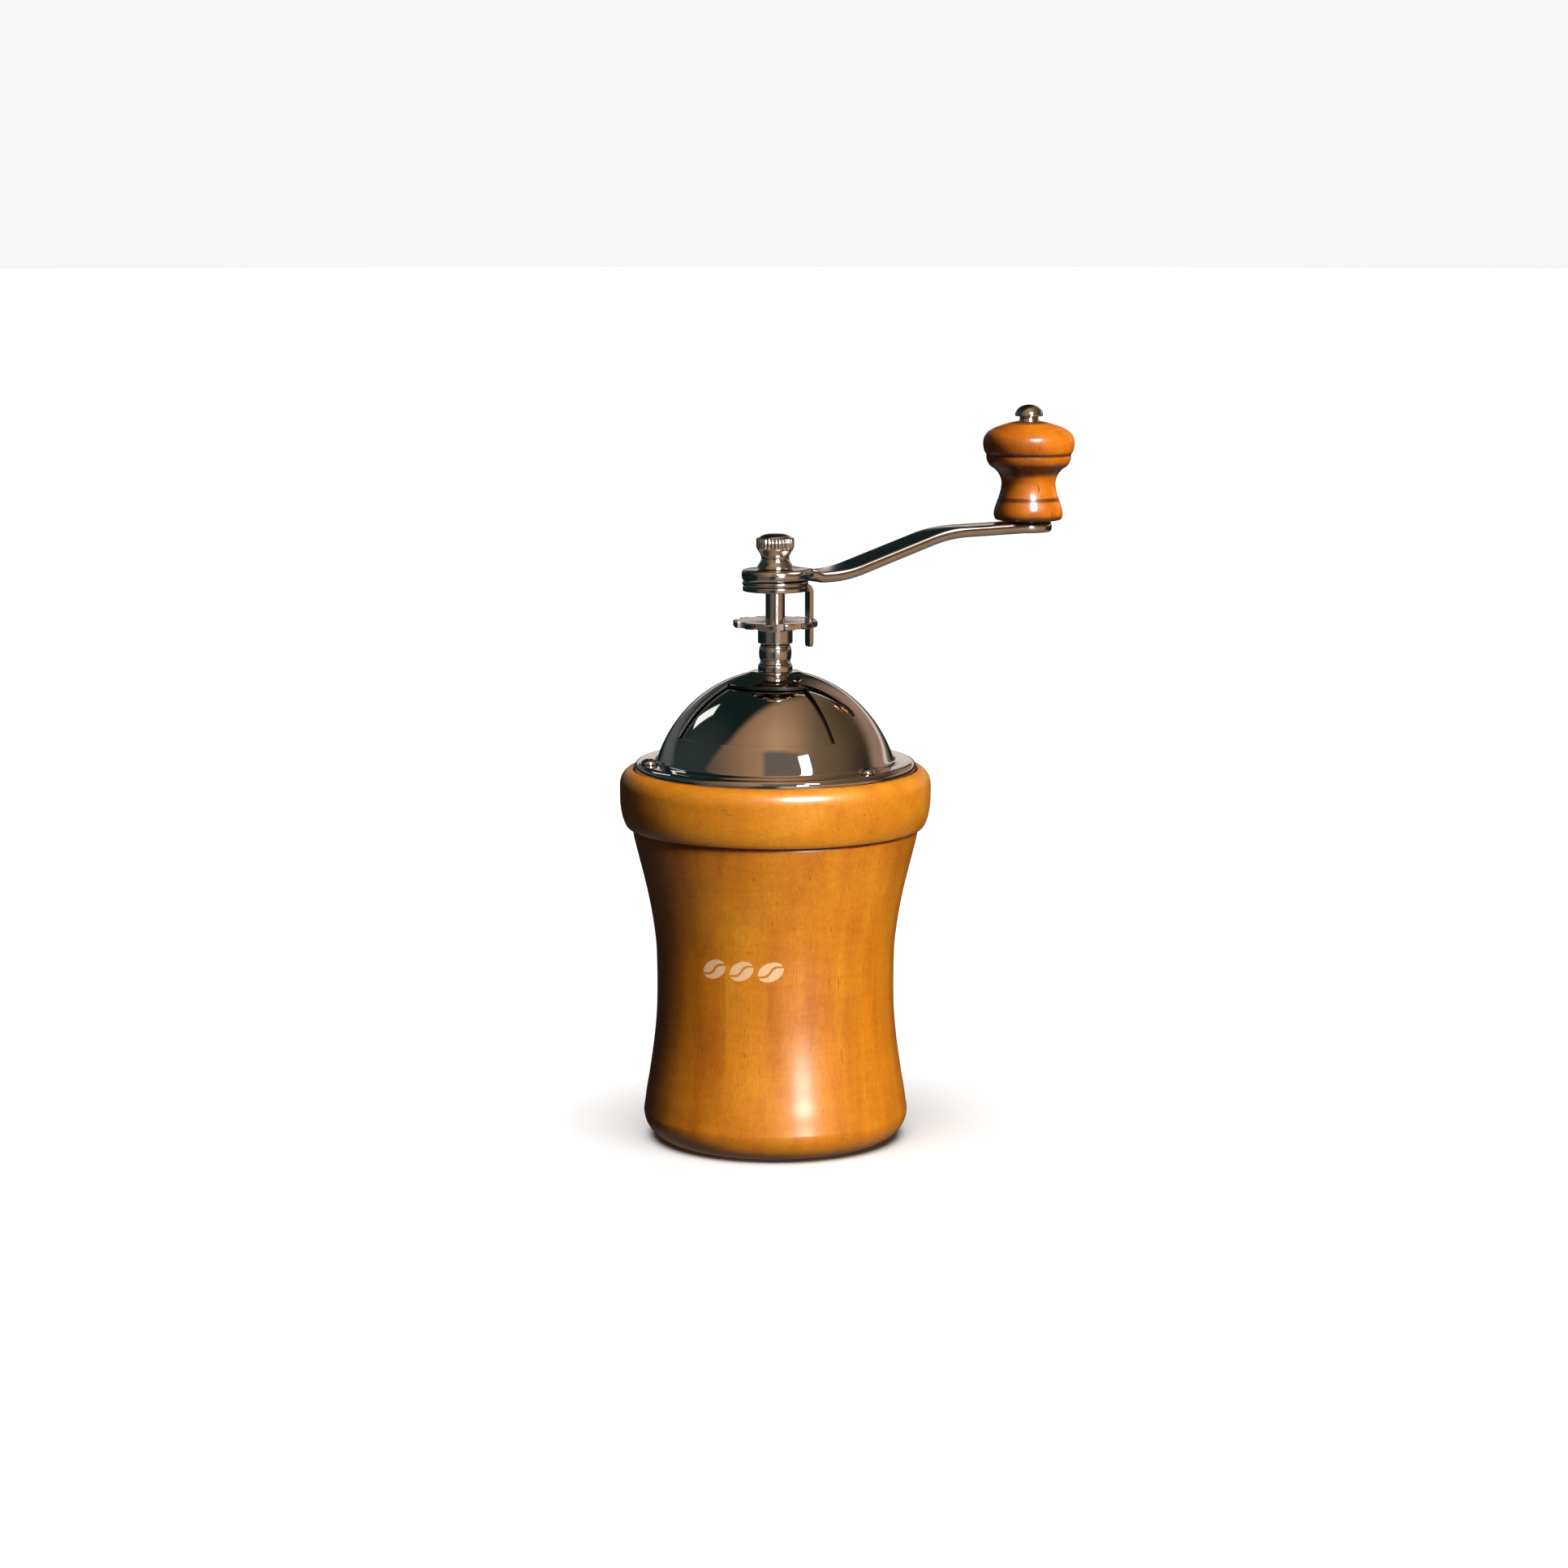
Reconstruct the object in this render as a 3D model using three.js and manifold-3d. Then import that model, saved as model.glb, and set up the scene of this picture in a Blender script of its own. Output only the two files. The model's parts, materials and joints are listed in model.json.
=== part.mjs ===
// Hand coffee grinder: a turned wooden jar with a lift-off head. The head is a wooden collar that
// carries a polished steel dome with a sliding filler door, a hopper funnel and a pair of conical
// cast-iron burrs. The crank drives the inner burr through a central shaft, and a notched adjusting
// nut, locked by a bent stopper, sets the grind.
//
// Units are millimetres. +Z is up, the origin is on the shaft axis at the level of the table, and
// -Y is the front: the middle of the filler door.
import * as THREE from "three";
import { mergeVertices } from "three/addons/utils/BufferGeometryUtils.js";
import Module from "manifold-3d";

const wasm = await Module();
wasm.setup();

// ---------------------------------------------------------------------------------------------
// Driving dimensions

const COARSE = 36; // segments round a large turned piece
const FINE = 20; // segments round a shaft-sized piece
const GAP = 0.1; // between pieces that are stacked on the axis
const RUNNING = 0.09; // radial clearance of a running fit, facets included

const JAR = {
  top: 94.6,
  footRadius: 31.6,
  footRound: 8.2,
  boreRadius: 29.6,
  floor: 9.5,
  mouthRadius: 36.6,
  mouthFloor: 83.2,
};
// The waisted side of the jar as [radius, height], from the foot up.
const JAR_SIDE = [
  [39.8, 8.2],
  [38.9, 14.5],
  [37.4, 23],
  [36.1, 34.6],
  [35.6, 47],
  [36.0, 60.6],
  [37.8, 72.5],
  [39.6, 80.5],
  [41.5, 88.4],
  [42.9, 94.6],
];

const COLLAR = {
  bottom: 94.9,
  lipRadius: 44.4,
  radius: 46.5,
  topRound: 3.6,
  top: 112.2,
  recessRadius: 42.3,
  recessFloor: 110.8,
  bossRadius: 40.9,
  bossTop: 112.6,
  boreRadius: 35.7,
  spigotRadius: 36.3,
  spigotBore: 33.2,
  spigotBottom: 84,
};

const SHEET = 0.8; // thickness of the dome's pressed steel
const DOME = {
  halfWidth: 37.4, // horizontal semi-axis of the elliptical crown
  halfHeight: 39.6,
  centre: 102,
  seat: 141.2, // the small flat on top that carries the bearing
  flangeTop: 114.4,
  flangeRadius: 42,
  flangeRound: 1.4,
  skirtBottom: 111.3,
  holeRadius: 4.2,
  fillet: 1.1,
};
const WINDOW = { halfAngle: 50, inner: 15.4, outer: 31.6 };
const DOOR = {
  gap: 0.35,
  thickness: 0.7,
  overlap: 3.5, // degrees hidden behind each side of the window
  ring: 12,
  outer: 33,
};

const SCREW = {
  angles: { left: -60, right: 60, back: 180 }, // degrees from the front
  circle: 38.5,
  headRadius: 2.45,
  headHeight: 1.7,
  shankRadius: 1.3,
  length: 9,
};

const FUNNEL = {
  sheet: 0.6,
  rimRadius: 40.6,
  wallRadius: 35.2,
  bend: 105,
  throatRadius: 18.6,
  seatRadius: 25.4,
  seat: 90,
};
const HOLDER = {
  bore: 19.6,
  wall: 1.4,
  flange: 25.4,
  flangeThickness: 2,
  bottom: 65.6,
  lip: 18.1,
  lipThickness: 1.3,
  bridge: 83.2,
  bridgeHeight: 3.6,
  armWidth: 5,
  hubRadius: 7.4,
  hubBore: 5.1,
  rivetCircle: 22.9,
  rivetRadius: 1,
};

const BURR = {
  outerRadius: 19.4,
  outerTop: 80,
  outerBottom: 67.2,
  innerTop: 77,
  innerBottom: 64.8,
  outerTeeth: 22,
  innerTeeth: 20,
  toothDepth: 0.7,
  twist: 0.05, // radians per millimetre of height
};

const SHAFT = {
  radius: 2.9,
  threadRadius: 2.45,
  bottom: 58.4,
  lowerThread: 65.2,
  flats: 2.35, // distance of each flat from the axis
  flatsFrom: 157.2,
  shoulder: 171.4,
  top: 178.6,
};

const NECK = {
  bottom: 141.3,
  top: 149.3,
  baseRadius: 5.2,
  grooveRadius: 4.6,
  stemRadius: 4.05,
  stemBottom: 136.2,
};
const ADJUSTER = {
  collarRadius: 5.2,
  collarBottom: 149.6,
  plateBottom: 154.6,
  plateTop: 156.4,
  plateRadius: 12.6,
  notches: 12,
  notchDepth: 1.5,
  notchWidth: 3.3,
};
const STOPPER = {
  radius: 9.7,
  bottom: 165.2,
  thickness: 1.5,
  fingerWidth: 2.8,
  fingerInner: 11.8, // distance of the finger's inner face from the axis
  fingerBottom: 147.6,
};
const HUB_WASHER = { radius: 9.8, bottom: 166.9, top: 168.2 };

const CRANK_ANGLE = 52; // degrees from +X, as seen from above
const ARM = {
  length: 97,
  hubRadius: 10,
  endRadius: 7.4,
  halfWidthAtHub: 6,
  halfWidthAtEnd: 5.6,
  thickness: 3.3,
  hubHeight: 170, // mid-thickness at the hub
  dip: 1.3, // the arm dips past the hub, then rises
  dipFrom: 9.6,
  dipTo: 14.5,
  riseFrom: 17,
  lowerBend: 46, // radii of the two bends
  upperBend: 54,
  bendAngle: 15.1,
  straight: 27.4,
};
const CAP_NUT = { bottom: 171.8, top: 182.3, knurls: 24, bore: 2.6, boreTop: 179 };

const KNOB = { bottom: 181.3, top: 212.1, bore: 3.15, recessRadius: 5.8 };
const KNOB_WASHER = { inner: 3.2, outer: 5.5, thickness: 0.5 };
const SPINDLE = {
  sleeveRadius: 3,
  tenonRadius: 2.1,
  headRadius: 4.35,
  headBottom: 213.4,
  headTop: 217.1,
};

// ---------------------------------------------------------------------------------------------
// Materials

const steel = (name, color, roughness) =>
  new THREE.MeshStandardMaterial({ name, color, roughness, metalness: 1 });
const plain = (name, color, roughness) =>
  new THREE.MeshStandardMaterial({ name, color, roughness, metalness: 0 });

const MATERIALS = {
  wood: plain("stained_wood", 0xc47a22, 0.35),
  mirror: steel("mirror_steel", 0x8d857c, 0.06),
  nickel: steel("nickel_steel", 0xa39a92, 0.22),
  plate: steel("plated_steel", 0xb4b2ad, 0.35),
  iron: steel("cast_iron", 0x5c5a58, 0.55),
  nylon: plain("nylon", 0x2b2b2d, 0.55),
};

// ---------------------------------------------------------------------------------------------
// Shape tools

const radians = THREE.MathUtils.degToRad;

// Points of an elliptical arc in the (radius, height) plane, angles in degrees from +radius.
function arc(centreR, centreZ, a, b, from, to, steps) {
  return Array.from({ length: steps + 1 }, (_, i) => {
    const t = radians(from + ((to - from) * i) / steps);
    return [centreR + a * Math.cos(t), centreZ + b * Math.sin(t)];
  });
}

// A turned solid from an outline of [radius, height] points, in either direction. The outline
// closes on itself, or starts and ends on the axis.
function turned(outline, segments = FINE) {
  const onAxis = outline[0][0] === 0 && outline.at(-1)[0] === 0;
  const points = outline.map(([r, z]) => new THREE.Vector2(r, z));
  if (!onAxis) points.push(points[0].clone());
  if (THREE.ShapeUtils.area(points) < 0) points.reverse();
  return new THREE.LatheGeometry(points, segments).rotateX(Math.PI / 2);
}

// A ring between two radii and two heights.
const ring = (inner, outer, bottom, top, segments = FINE) =>
  turned([[inner, bottom], [outer, bottom], [outer, top], [inner, top]], segments);

// A disc or pin on the axis.
const disc = (radius, bottom, top, segments = FINE) =>
  turned([[0, bottom], [radius, bottom], [radius, top], [0, top]], segments);

// A three.js shape standing between two heights.
function prism(shape, bottom, top, curveSegments = 12) {
  const options = { depth: top - bottom, bevelEnabled: false, curveSegments };
  return new THREE.ExtrudeGeometry(shape, options).translate(0, 0, bottom);
}

// Part of a ring seen from above, angles in degrees from the front (-Y), positive towards +X.
function sector(inner, outer, from, to) {
  const shape = new THREE.Shape();
  shape.absarc(0, 0, outer, radians(from - 90), radians(to - 90), false);
  shape.absarc(0, 0, inner, radians(to - 90), radians(from - 90), true);
  return shape;
}

function box(x, y, z, sizeX, sizeY, sizeZ) {
  return new THREE.BoxGeometry(sizeX, sizeY, sizeZ).translate(x, y, z);
}

function solid(geometry) {
  const bare = geometry.clone();
  bare.deleteAttribute("normal");
  bare.deleteAttribute("uv");
  const merged = mergeVertices(bare, 1e-4);
  return new wasm.Manifold(
    new wasm.Mesh({
      numProp: 3,
      vertProperties: merged.attributes.position.array,
      triVerts: new Uint32Array(merged.index.array),
    }),
  );
}

function geometryOf(manifold) {
  const mesh = manifold.getMesh();
  const geometry = new THREE.BufferGeometry();
  geometry.setAttribute("position", new THREE.BufferAttribute(mesh.vertProperties, 3));
  geometry.setIndex(new THREE.BufferAttribute(mesh.triVerts, 1));
  geometry.computeVertexNormals();
  return geometry;
}

const join = (...parts) => geometryOf(parts.map(solid).reduce((a, b) => a.add(b)));
const cut = (body, ...tools) =>
  geometryOf(tools.map(solid).reduce((a, b) => a.subtract(b), solid(body)));
const common = (a, b) => geometryOf(solid(a).intersect(solid(b)));

// ---------------------------------------------------------------------------------------------
// Jar

function woodenJar() {
  const side = new THREE.SplineCurve(JAR_SIDE.map(([r, z]) => new THREE.Vector2(r, z)));
  const waist = side.getPoints(11).map((p) => [p.x, p.y]);
  const foot = arc(
    JAR.footRadius, JAR.footRound, JAR_SIDE[0][0] - JAR.footRadius, JAR.footRound, -90, 0, 4,
  );
  return turned(
    [
      [0, 0],
      ...foot.slice(0, -1),
      ...waist,
      [JAR.mouthRadius, JAR.top],
      [JAR.mouthRadius, JAR.mouthFloor],
      [JAR.boreRadius, JAR.mouthFloor - 3],
      [JAR.boreRadius, JAR.floor + 4],
      [JAR.boreRadius - 4, JAR.floor],
      [0, JAR.floor],
    ],
    COARSE,
  );
}

// ---------------------------------------------------------------------------------------------
// Head: collar, dome, door and hopper

function woodenCollar() {
  const round = COLLAR.topRound;
  const shoulder = COLLAR.radius - round;
  const under = COLLAR.radius - COLLAR.lipRadius;
  const belly = COLLAR.bottom + 9;
  const body = turned(
    [
      [COLLAR.boreRadius, COLLAR.bossTop],
      [COLLAR.bossRadius, COLLAR.bossTop],
      [COLLAR.bossRadius, COLLAR.recessFloor],
      [COLLAR.recessRadius, COLLAR.recessFloor],
      [COLLAR.recessRadius, COLLAR.top - 0.4],
      [shoulder, COLLAR.top],
      ...arc(shoulder, COLLAR.top - round, round, round, 90, 0, 4).slice(1),
      ...arc(COLLAR.lipRadius, belly, under, belly - COLLAR.bottom - 0.5, 0, -80, 3),
      [COLLAR.lipRadius - 0.5, COLLAR.bottom],
      [COLLAR.spigotRadius, COLLAR.bottom],
      [COLLAR.spigotRadius, COLLAR.spigotBottom],
      [COLLAR.spigotBore, COLLAR.spigotBottom],
      [COLLAR.spigotBore, 96],
      [COLLAR.boreRadius, 101],
    ],
    COARSE,
  );
  return cut(body, ...screwPlaces().map(screwHole));
}

// Height of the dome's crown at a radius, for a surface a distance inside the outer skin.
function crownHeight(radius, inset = 0) {
  const a = DOME.halfWidth - inset;
  const b = DOME.halfHeight - inset;
  return Math.min(DOME.centre + b * Math.sqrt(1 - (radius / a) ** 2), DOME.seat - inset);
}

// Points down the crown between two radii, closer together where it is steep.
function crown(inset, from, to, steps) {
  const a = DOME.halfWidth - inset;
  return Array.from({ length: steps + 1 }, (_, i) => {
    const start = Math.asin(from / a);
    const r = a * Math.sin(start + ((Math.asin(to / a) - start) * i) / steps);
    return [r, crownHeight(r, inset)];
  });
}

function domeShell() {
  const foot = 34.9; // radius at which the crown ends in the fillet to the flange
  const outerFillet = foot + DOME.fillet;
  const round = DOME.flangeRound;
  const rim = DOME.flangeRadius - round;
  const shell = turned(
    [
      [DOME.holeRadius, DOME.seat],
      [6.4, DOME.seat],
      ...crown(0, 7, foot, 8),
      [foot + 0.5, DOME.flangeTop + 0.5],
      [outerFillet, DOME.flangeTop],
      ...arc(rim, DOME.flangeTop - round, round, round, 90, 0, 3),
      [DOME.flangeRadius, DOME.skirtBottom],
      [DOME.flangeRadius - SHEET, DOME.skirtBottom],
      [DOME.flangeRadius - SHEET, DOME.flangeTop - SHEET],
      [foot, DOME.flangeTop - SHEET],
      ...crown(SHEET, 7, foot - SHEET, 6).reverse(),
      [6.4, DOME.seat - SHEET],
      [DOME.holeRadius, DOME.seat - SHEET],
    ],
    COARSE,
  );
  const window = prism(
    sector(WINDOW.inner, WINDOW.outer, -WINDOW.halfAngle, WINDOW.halfAngle),
    DOME.flangeTop + 2, DOME.seat + 2,
  );
  return cut(shell, window, ...screwPlaces().map(screwHole));
}

function slidingDoor() {
  const outer = SHEET + DOOR.gap;
  const inner = outer + DOOR.thickness;
  const side = WINDOW.halfAngle + DOOR.overlap;
  const bowl = turned(
    [
      [NECK.stemRadius + RUNNING, DOME.seat - outer],
      [6.2, DOME.seat - outer],
      ...crown(outer, 7, DOOR.outer, 7),
      ...crown(inner, 7, DOOR.outer, 6).reverse(),
      [6.2, DOME.seat - inner],
      [NECK.stemRadius + RUNNING, DOME.seat - inner],
    ],
    COARSE,
  );
  const leaf = join(
    prism(sector(8, DOOR.outer + 2, -side, side), DOME.flangeTop, DOME.seat + 2),
    disc(DOOR.ring, DOME.flangeTop, DOME.seat + 2),
  );
  return common(bowl, leaf);
}

function hopperFunnel() {
  const t = FUNNEL.sheet;
  const rim = COLLAR.bossTop + GAP;
  return cut(
    turned(
      [
        [FUNNEL.rimRadius, rim + t],
        [FUNNEL.wallRadius - t, rim + t],
        [FUNNEL.wallRadius - t, FUNNEL.bend],
        [FUNNEL.seatRadius - t / 2, FUNNEL.seat + t],
        [FUNNEL.throatRadius, FUNNEL.seat + t],
        [FUNNEL.throatRadius, FUNNEL.seat],
        [FUNNEL.seatRadius, FUNNEL.seat],
        [FUNNEL.wallRadius, FUNNEL.bend - t / 2],
        [FUNNEL.wallRadius, rim],
        [FUNNEL.rimRadius, rim],
      ],
      COARSE,
    ),
    ...screwPlaces().map(screwHole),
    ...rivetPlaces().map(rivetHole),
  );
}

// ---------------------------------------------------------------------------------------------
// Head: fasteners

const polar = (radius, degrees) =>
  new THREE.Vector2(radius * Math.cos(radians(degrees)), radius * Math.sin(radians(degrees)));
const screwPlaces = () => Object.values(SCREW.angles).map((a) => polar(SCREW.circle, a - 90));
const rivetPlaces = () => [0, 1, 2].map((i) => polar(HOLDER.rivetCircle, 30 + 120 * i));

const screwHole = (place) =>
  disc(SCREW.shankRadius + 0.3, 100, 120, 12).translate(place.x, place.y, 0);
const rivetHole = (place) =>
  disc(HOLDER.rivetRadius + 0.2, 80, 100, 12).translate(place.x, place.y, 0);

function flangeScrew(place) {
  const seat = DOME.flangeTop + GAP;
  const screw = turned(
    [
      [0, seat - SCREW.length],
      [SCREW.shankRadius * 0.6, seat - SCREW.length + 0.6],
      [SCREW.shankRadius, seat - SCREW.length + 2],
      [SCREW.shankRadius, seat],
      [SCREW.headRadius, seat],
      ...arc(0, seat + 0.5, SCREW.headRadius, SCREW.headHeight - 0.5, 0, 90, 4).slice(0, -1),
      [0, seat + SCREW.headHeight],
    ],
    16,
  );
  const top = seat + SCREW.headHeight;
  const slot = (x, y) => box(0, 0, top, x, y, 1.6);
  return cut(screw, slot(2.6, 0.6), slot(0.6, 2.6)).translate(place.x, place.y, 0);
}

function holderRivet(place) {
  const r = HOLDER.rivetRadius;
  const bottom = FUNNEL.seat - GAP - HOLDER.flangeThickness - GAP;
  const top = FUNNEL.seat + FUNNEL.sheet + GAP;
  return turned(
    [
      [0, bottom - 0.7],
      [r * 1.6, bottom - 0.3],
      [r * 1.6, bottom],
      [r, bottom],
      [r, top],
      [r * 1.6, top],
      [r * 1.6, top + 0.3],
      [0, top + 0.7],
    ],
    12,
  ).translate(place.x, place.y, 0);
}

// ---------------------------------------------------------------------------------------------
// Head: burr holder and bearings

function burrHolder() {
  const top = FUNNEL.seat - GAP;
  const outer = HOLDER.bore + HOLDER.wall;
  const shell = turned(
    [
      [HOLDER.bore, top],
      [HOLDER.flange, top],
      [HOLDER.flange, top - HOLDER.flangeThickness],
      [outer, top - HOLDER.flangeThickness],
      [outer, HOLDER.bottom],
      [HOLDER.lip, HOLDER.bottom],
      [HOLDER.lip, HOLDER.bottom + HOLDER.lipThickness],
      [HOLDER.bore, HOLDER.bottom + HOLDER.lipThickness],
    ],
    COARSE,
  );
  const middle = HOLDER.bridge + HOLDER.bridgeHeight / 2;
  const reach = HOLDER.bore + HOLDER.wall / 2;
  const arms = [0, 1, 2].map((i) =>
    box(reach / 2, 0, middle, reach, HOLDER.armWidth, HOLDER.bridgeHeight).rotateZ(
      radians(90 + 120 * i),
    ),
  );
  const hub = disc(HOLDER.hubRadius, HOLDER.bridge - 0.6, HOLDER.bridge + HOLDER.bridgeHeight + 0.6);
  const bore = disc(HOLDER.hubBore, HOLDER.bridge - 2, HOLDER.bridge + HOLDER.bridgeHeight + 2);
  return cut(join(shell, ...arms, hub), bore, ...rivetPlaces().map(rivetHole));
}

function lowerBush() {
  const bore = SHAFT.radius + RUNNING;
  const bottom = HOLDER.bridge - 0.6;
  const top = HOLDER.bridge + HOLDER.bridgeHeight + 0.6;
  return turned([
    [bore, bottom],
    [HOLDER.hubBore - GAP, bottom],
    [HOLDER.hubBore - GAP, top + GAP],
    [HOLDER.hubRadius - 0.6, top + GAP],
    [HOLDER.hubRadius - 0.6, top + GAP + 1],
    [bore, top + GAP + 1],
  ]);
}

// The turned bearing on the dome: a base ring, a groove and a barrel above the seat, and a stem
// through it.
function topBearing() {
  const bore = SHAFT.radius + RUNNING;
  const base = NECK.bottom;
  return turned([
    [bore, NECK.stemBottom],
    [NECK.stemRadius, NECK.stemBottom],
    [NECK.stemRadius, base],
    [NECK.baseRadius, base],
    [NECK.baseRadius, base + 1.6],
    [NECK.grooveRadius, base + 2.5],
    ...arc(NECK.grooveRadius - 0.2, base + 5.3, 0.5, 2.3, -70, 70, 4),
    [NECK.grooveRadius, NECK.top],
    [bore, NECK.top],
  ]);
}

function bearingNut() {
  const top = DOME.seat - SHEET - DOOR.gap - DOOR.thickness - GAP;
  const hexagon = turned([[0, top - 2.4], [6.2, top - 2.4], [6.2, top], [0, top]], 6);
  return cut(hexagon, disc(NECK.stemRadius + GAP, top - 4, top + 1));
}

// ---------------------------------------------------------------------------------------------
// Burrs

// A ring-shaped solid whose toothed wall leans with height. Each level is [toothed radius, height,
// smooth radius, tooth depth]; the teeth point towards the smooth wall's far side.
function toothedRing(levels, teeth, stepsPerTooth, twist) {
  const around = teeth * stepsPerTooth;
  const rows = levels.flatMap(([toothed, z, , depth]) => [[toothed, z, depth]]);
  const smooth = levels.map(([, z, r]) => [r, z]).reverse();
  const loop = [...rows, ...smooth.map(([r, z]) => [r, z, 0])];
  const positions = [];
  for (const [radius, z, depth] of loop) {
    for (let i = 0; i < around; i++) {
      const angle = (2 * Math.PI * i) / around;
      const share = (i % stepsPerTooth) / stepsPerTooth;
      const r = radius - depth * share;
      const turn = angle + twist * z;
      positions.push(r * Math.cos(turn), r * Math.sin(turn), z);
    }
  }
  const index = [];
  for (let row = 0; row < loop.length; row++) {
    for (let i = 0; i < around; i++) {
      const next = (row + 1) % loop.length;
      const j = (i + 1) % around;
      const [a, b, c, d] = [row * around + i, row * around + j, next * around + j, next * around + i];
      index.push(a, c, b, a, d, c);
    }
  }
  const geometry = new THREE.BufferGeometry();
  geometry.setAttribute("position", new THREE.Float32BufferAttribute(positions, 3));
  geometry.setIndex(index);
  return geometryOf(solid(geometry));
}

function outerBurr() {
  const { outerRadius: r, outerTop: top, outerBottom: bottom, toothDepth: d } = BURR;
  // Teeth are cut into the wall, so their depth is negative: the radius grows within each tooth.
  return toothedRing(
    [
      [17.3, bottom, r, -0.3],
      [16.7, bottom + 1.6, r, -0.4],
      [15.6, bottom + 5, r, -1.6 * d],
      [15.2, bottom + 9, r, -2.6 * d],
      [15.8, top, r, -2.6 * d],
    ],
    BURR.outerTeeth, 2, -BURR.twist,
  );
}

function innerBurr() {
  const { innerTop: top, innerBottom: bottom, toothDepth: d } = BURR;
  const bore = SHAFT.radius + GAP;
  return toothedRing(
    [
      [7.6, top, bore, 0.4],
      [11.4, top - 4.4, bore, 2.4 * d],
      [15.2, top - 8.8, bore, 1.3 * d],
      [16.4, bottom + 0.8, bore, 0.6 * d],
      [16.2, bottom, bore, 0.6 * d],
    ],
    BURR.innerTeeth, 2, BURR.twist,
  );
}

function burrSpring() {
  const bottom = BURR.innerTop + 1.2 + GAP;
  const top = HOLDER.bridge - 0.6 - GAP;
  const wire = 0.45;
  const coil = 4.2;
  const turns = 2.5;
  class Helix extends THREE.Curve {
    getPoint(t, target = new THREE.Vector3()) {
      const angle = 2 * Math.PI * turns * t;
      const height = bottom + wire + (top - bottom - 2 * wire) * t;
      return target.set(coil * Math.cos(angle), coil * Math.sin(angle), height);
    }
  }
  const section = new THREE.Shape();
  section.absarc(0, 0, wire, 0, 2 * Math.PI);
  const options = { extrudePath: new Helix(), steps: 40, curveSegments: 3, bevelEnabled: false };
  return new THREE.ExtrudeGeometry(section, options);
}

const springWasher = () =>
  ring(SHAFT.radius + GAP, 6.4, BURR.innerTop + GAP, BURR.innerTop + 1.1);
const burrWasher = () =>
  ring(SHAFT.threadRadius + GAP, 7, BURR.innerBottom - GAP - 1, BURR.innerBottom - GAP);

function burrNut() {
  const top = BURR.innerBottom - 2 * GAP - 1;
  const hexagon = turned([[0, top - 3.4], [5.2, top - 3.4], [5.2, top], [0, top]], 6);
  return cut(hexagon, disc(SHAFT.threadRadius + GAP, top - 5, top + 1));
}

// ---------------------------------------------------------------------------------------------
// Drive: shaft, adjusting nut and stopper

// The two flats that lock the stopper and the arm, as blocks outside the flats.
const flatBlocks = (bottom, top, halfThickness) =>
  [1, -1].map((side) =>
    box(0, side * (halfThickness + 5), (bottom + top) / 2, 20, 10, top - bottom),
  );

function mainShaft() {
  const rod = turned([
    [0, SHAFT.bottom],
    [SHAFT.threadRadius - 0.4, SHAFT.bottom],
    [SHAFT.threadRadius, SHAFT.bottom + 0.4],
    [SHAFT.threadRadius, SHAFT.lowerThread],
    [SHAFT.radius, SHAFT.lowerThread],
    [SHAFT.radius, SHAFT.shoulder],
    [SHAFT.threadRadius, SHAFT.shoulder],
    [SHAFT.threadRadius, SHAFT.top - 0.5],
    [SHAFT.threadRadius - 0.5, SHAFT.top],
    [0, SHAFT.top],
  ]);
  return cut(rod, ...flatBlocks(SHAFT.flatsFrom, SHAFT.top + 1, SHAFT.flats));
}

// A hole that fits the shaft and its two flats.
function keyedHole(bottom, top) {
  const round = disc(SHAFT.radius + RUNNING, bottom, top);
  return cut(round, ...flatBlocks(bottom - 1, top + 1, SHAFT.flats + 0.1));
}

// Modelled with a notch towards +X, where the stopper's finger sits.
function adjustingNut() {
  const a = ADJUSTER;
  const body = turned(
    [
      [SHAFT.radius + RUNNING, a.collarBottom],
      [a.collarRadius - 0.3, a.collarBottom],
      [a.collarRadius, a.collarBottom + 0.3],
      [a.collarRadius, a.plateBottom - 0.8],
      [a.collarRadius + 0.8, a.plateBottom],
      [a.plateRadius - 0.4, a.plateBottom],
      [a.plateRadius, a.plateBottom + 0.4],
      [a.plateRadius, a.plateTop - 0.4],
      [a.plateRadius - 0.4, a.plateTop],
      [SHAFT.radius + RUNNING, a.plateTop],
    ],
    36,
  );
  const notch = box(
    a.plateRadius - a.notchDepth + 2.5, 0, (a.plateBottom + a.plateTop) / 2, 5, a.notchWidth, 4,
  );
  const notches = Array.from({ length: a.notches }, (_, i) =>
    notch.clone().rotateZ((2 * Math.PI * i) / a.notches),
  );
  return cut(body, ...notches);
}

// Modelled with its finger towards +X.
function stopper() {
  const s = STOPPER;
  const top = s.bottom + s.thickness;
  const outer = s.fingerInner + s.thickness;
  const plate = disc(s.radius, s.bottom, top, 32);
  const bridge = box((outer - 1) / 2, 0, (s.bottom + top) / 2, outer - 1, s.fingerWidth, s.thickness);
  const elbow = prism(
    new THREE.Shape()
      .moveTo(s.fingerInner, s.bottom - 2)
      .lineTo(outer, s.bottom - 2)
      .lineTo(outer, top - 1.2)
      .lineTo(outer - 1.2, top)
      .lineTo(s.fingerInner - 1.5, top)
      .lineTo(s.fingerInner - 1.5, s.bottom)
      .lineTo(s.fingerInner, s.bottom),
    -s.fingerWidth / 2, s.fingerWidth / 2,
  ).rotateX(Math.PI / 2);
  const finger = box(
    s.fingerInner + s.thickness / 2, 0, (s.fingerBottom + s.bottom) / 2 - 0.5,
    s.thickness, s.fingerWidth, s.bottom - s.fingerBottom - 1,
  );
  return cut(join(plate, bridge, elbow, finger), keyedHole(s.bottom - 1, top + 1));
}

// ---------------------------------------------------------------------------------------------
// Crank

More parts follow.
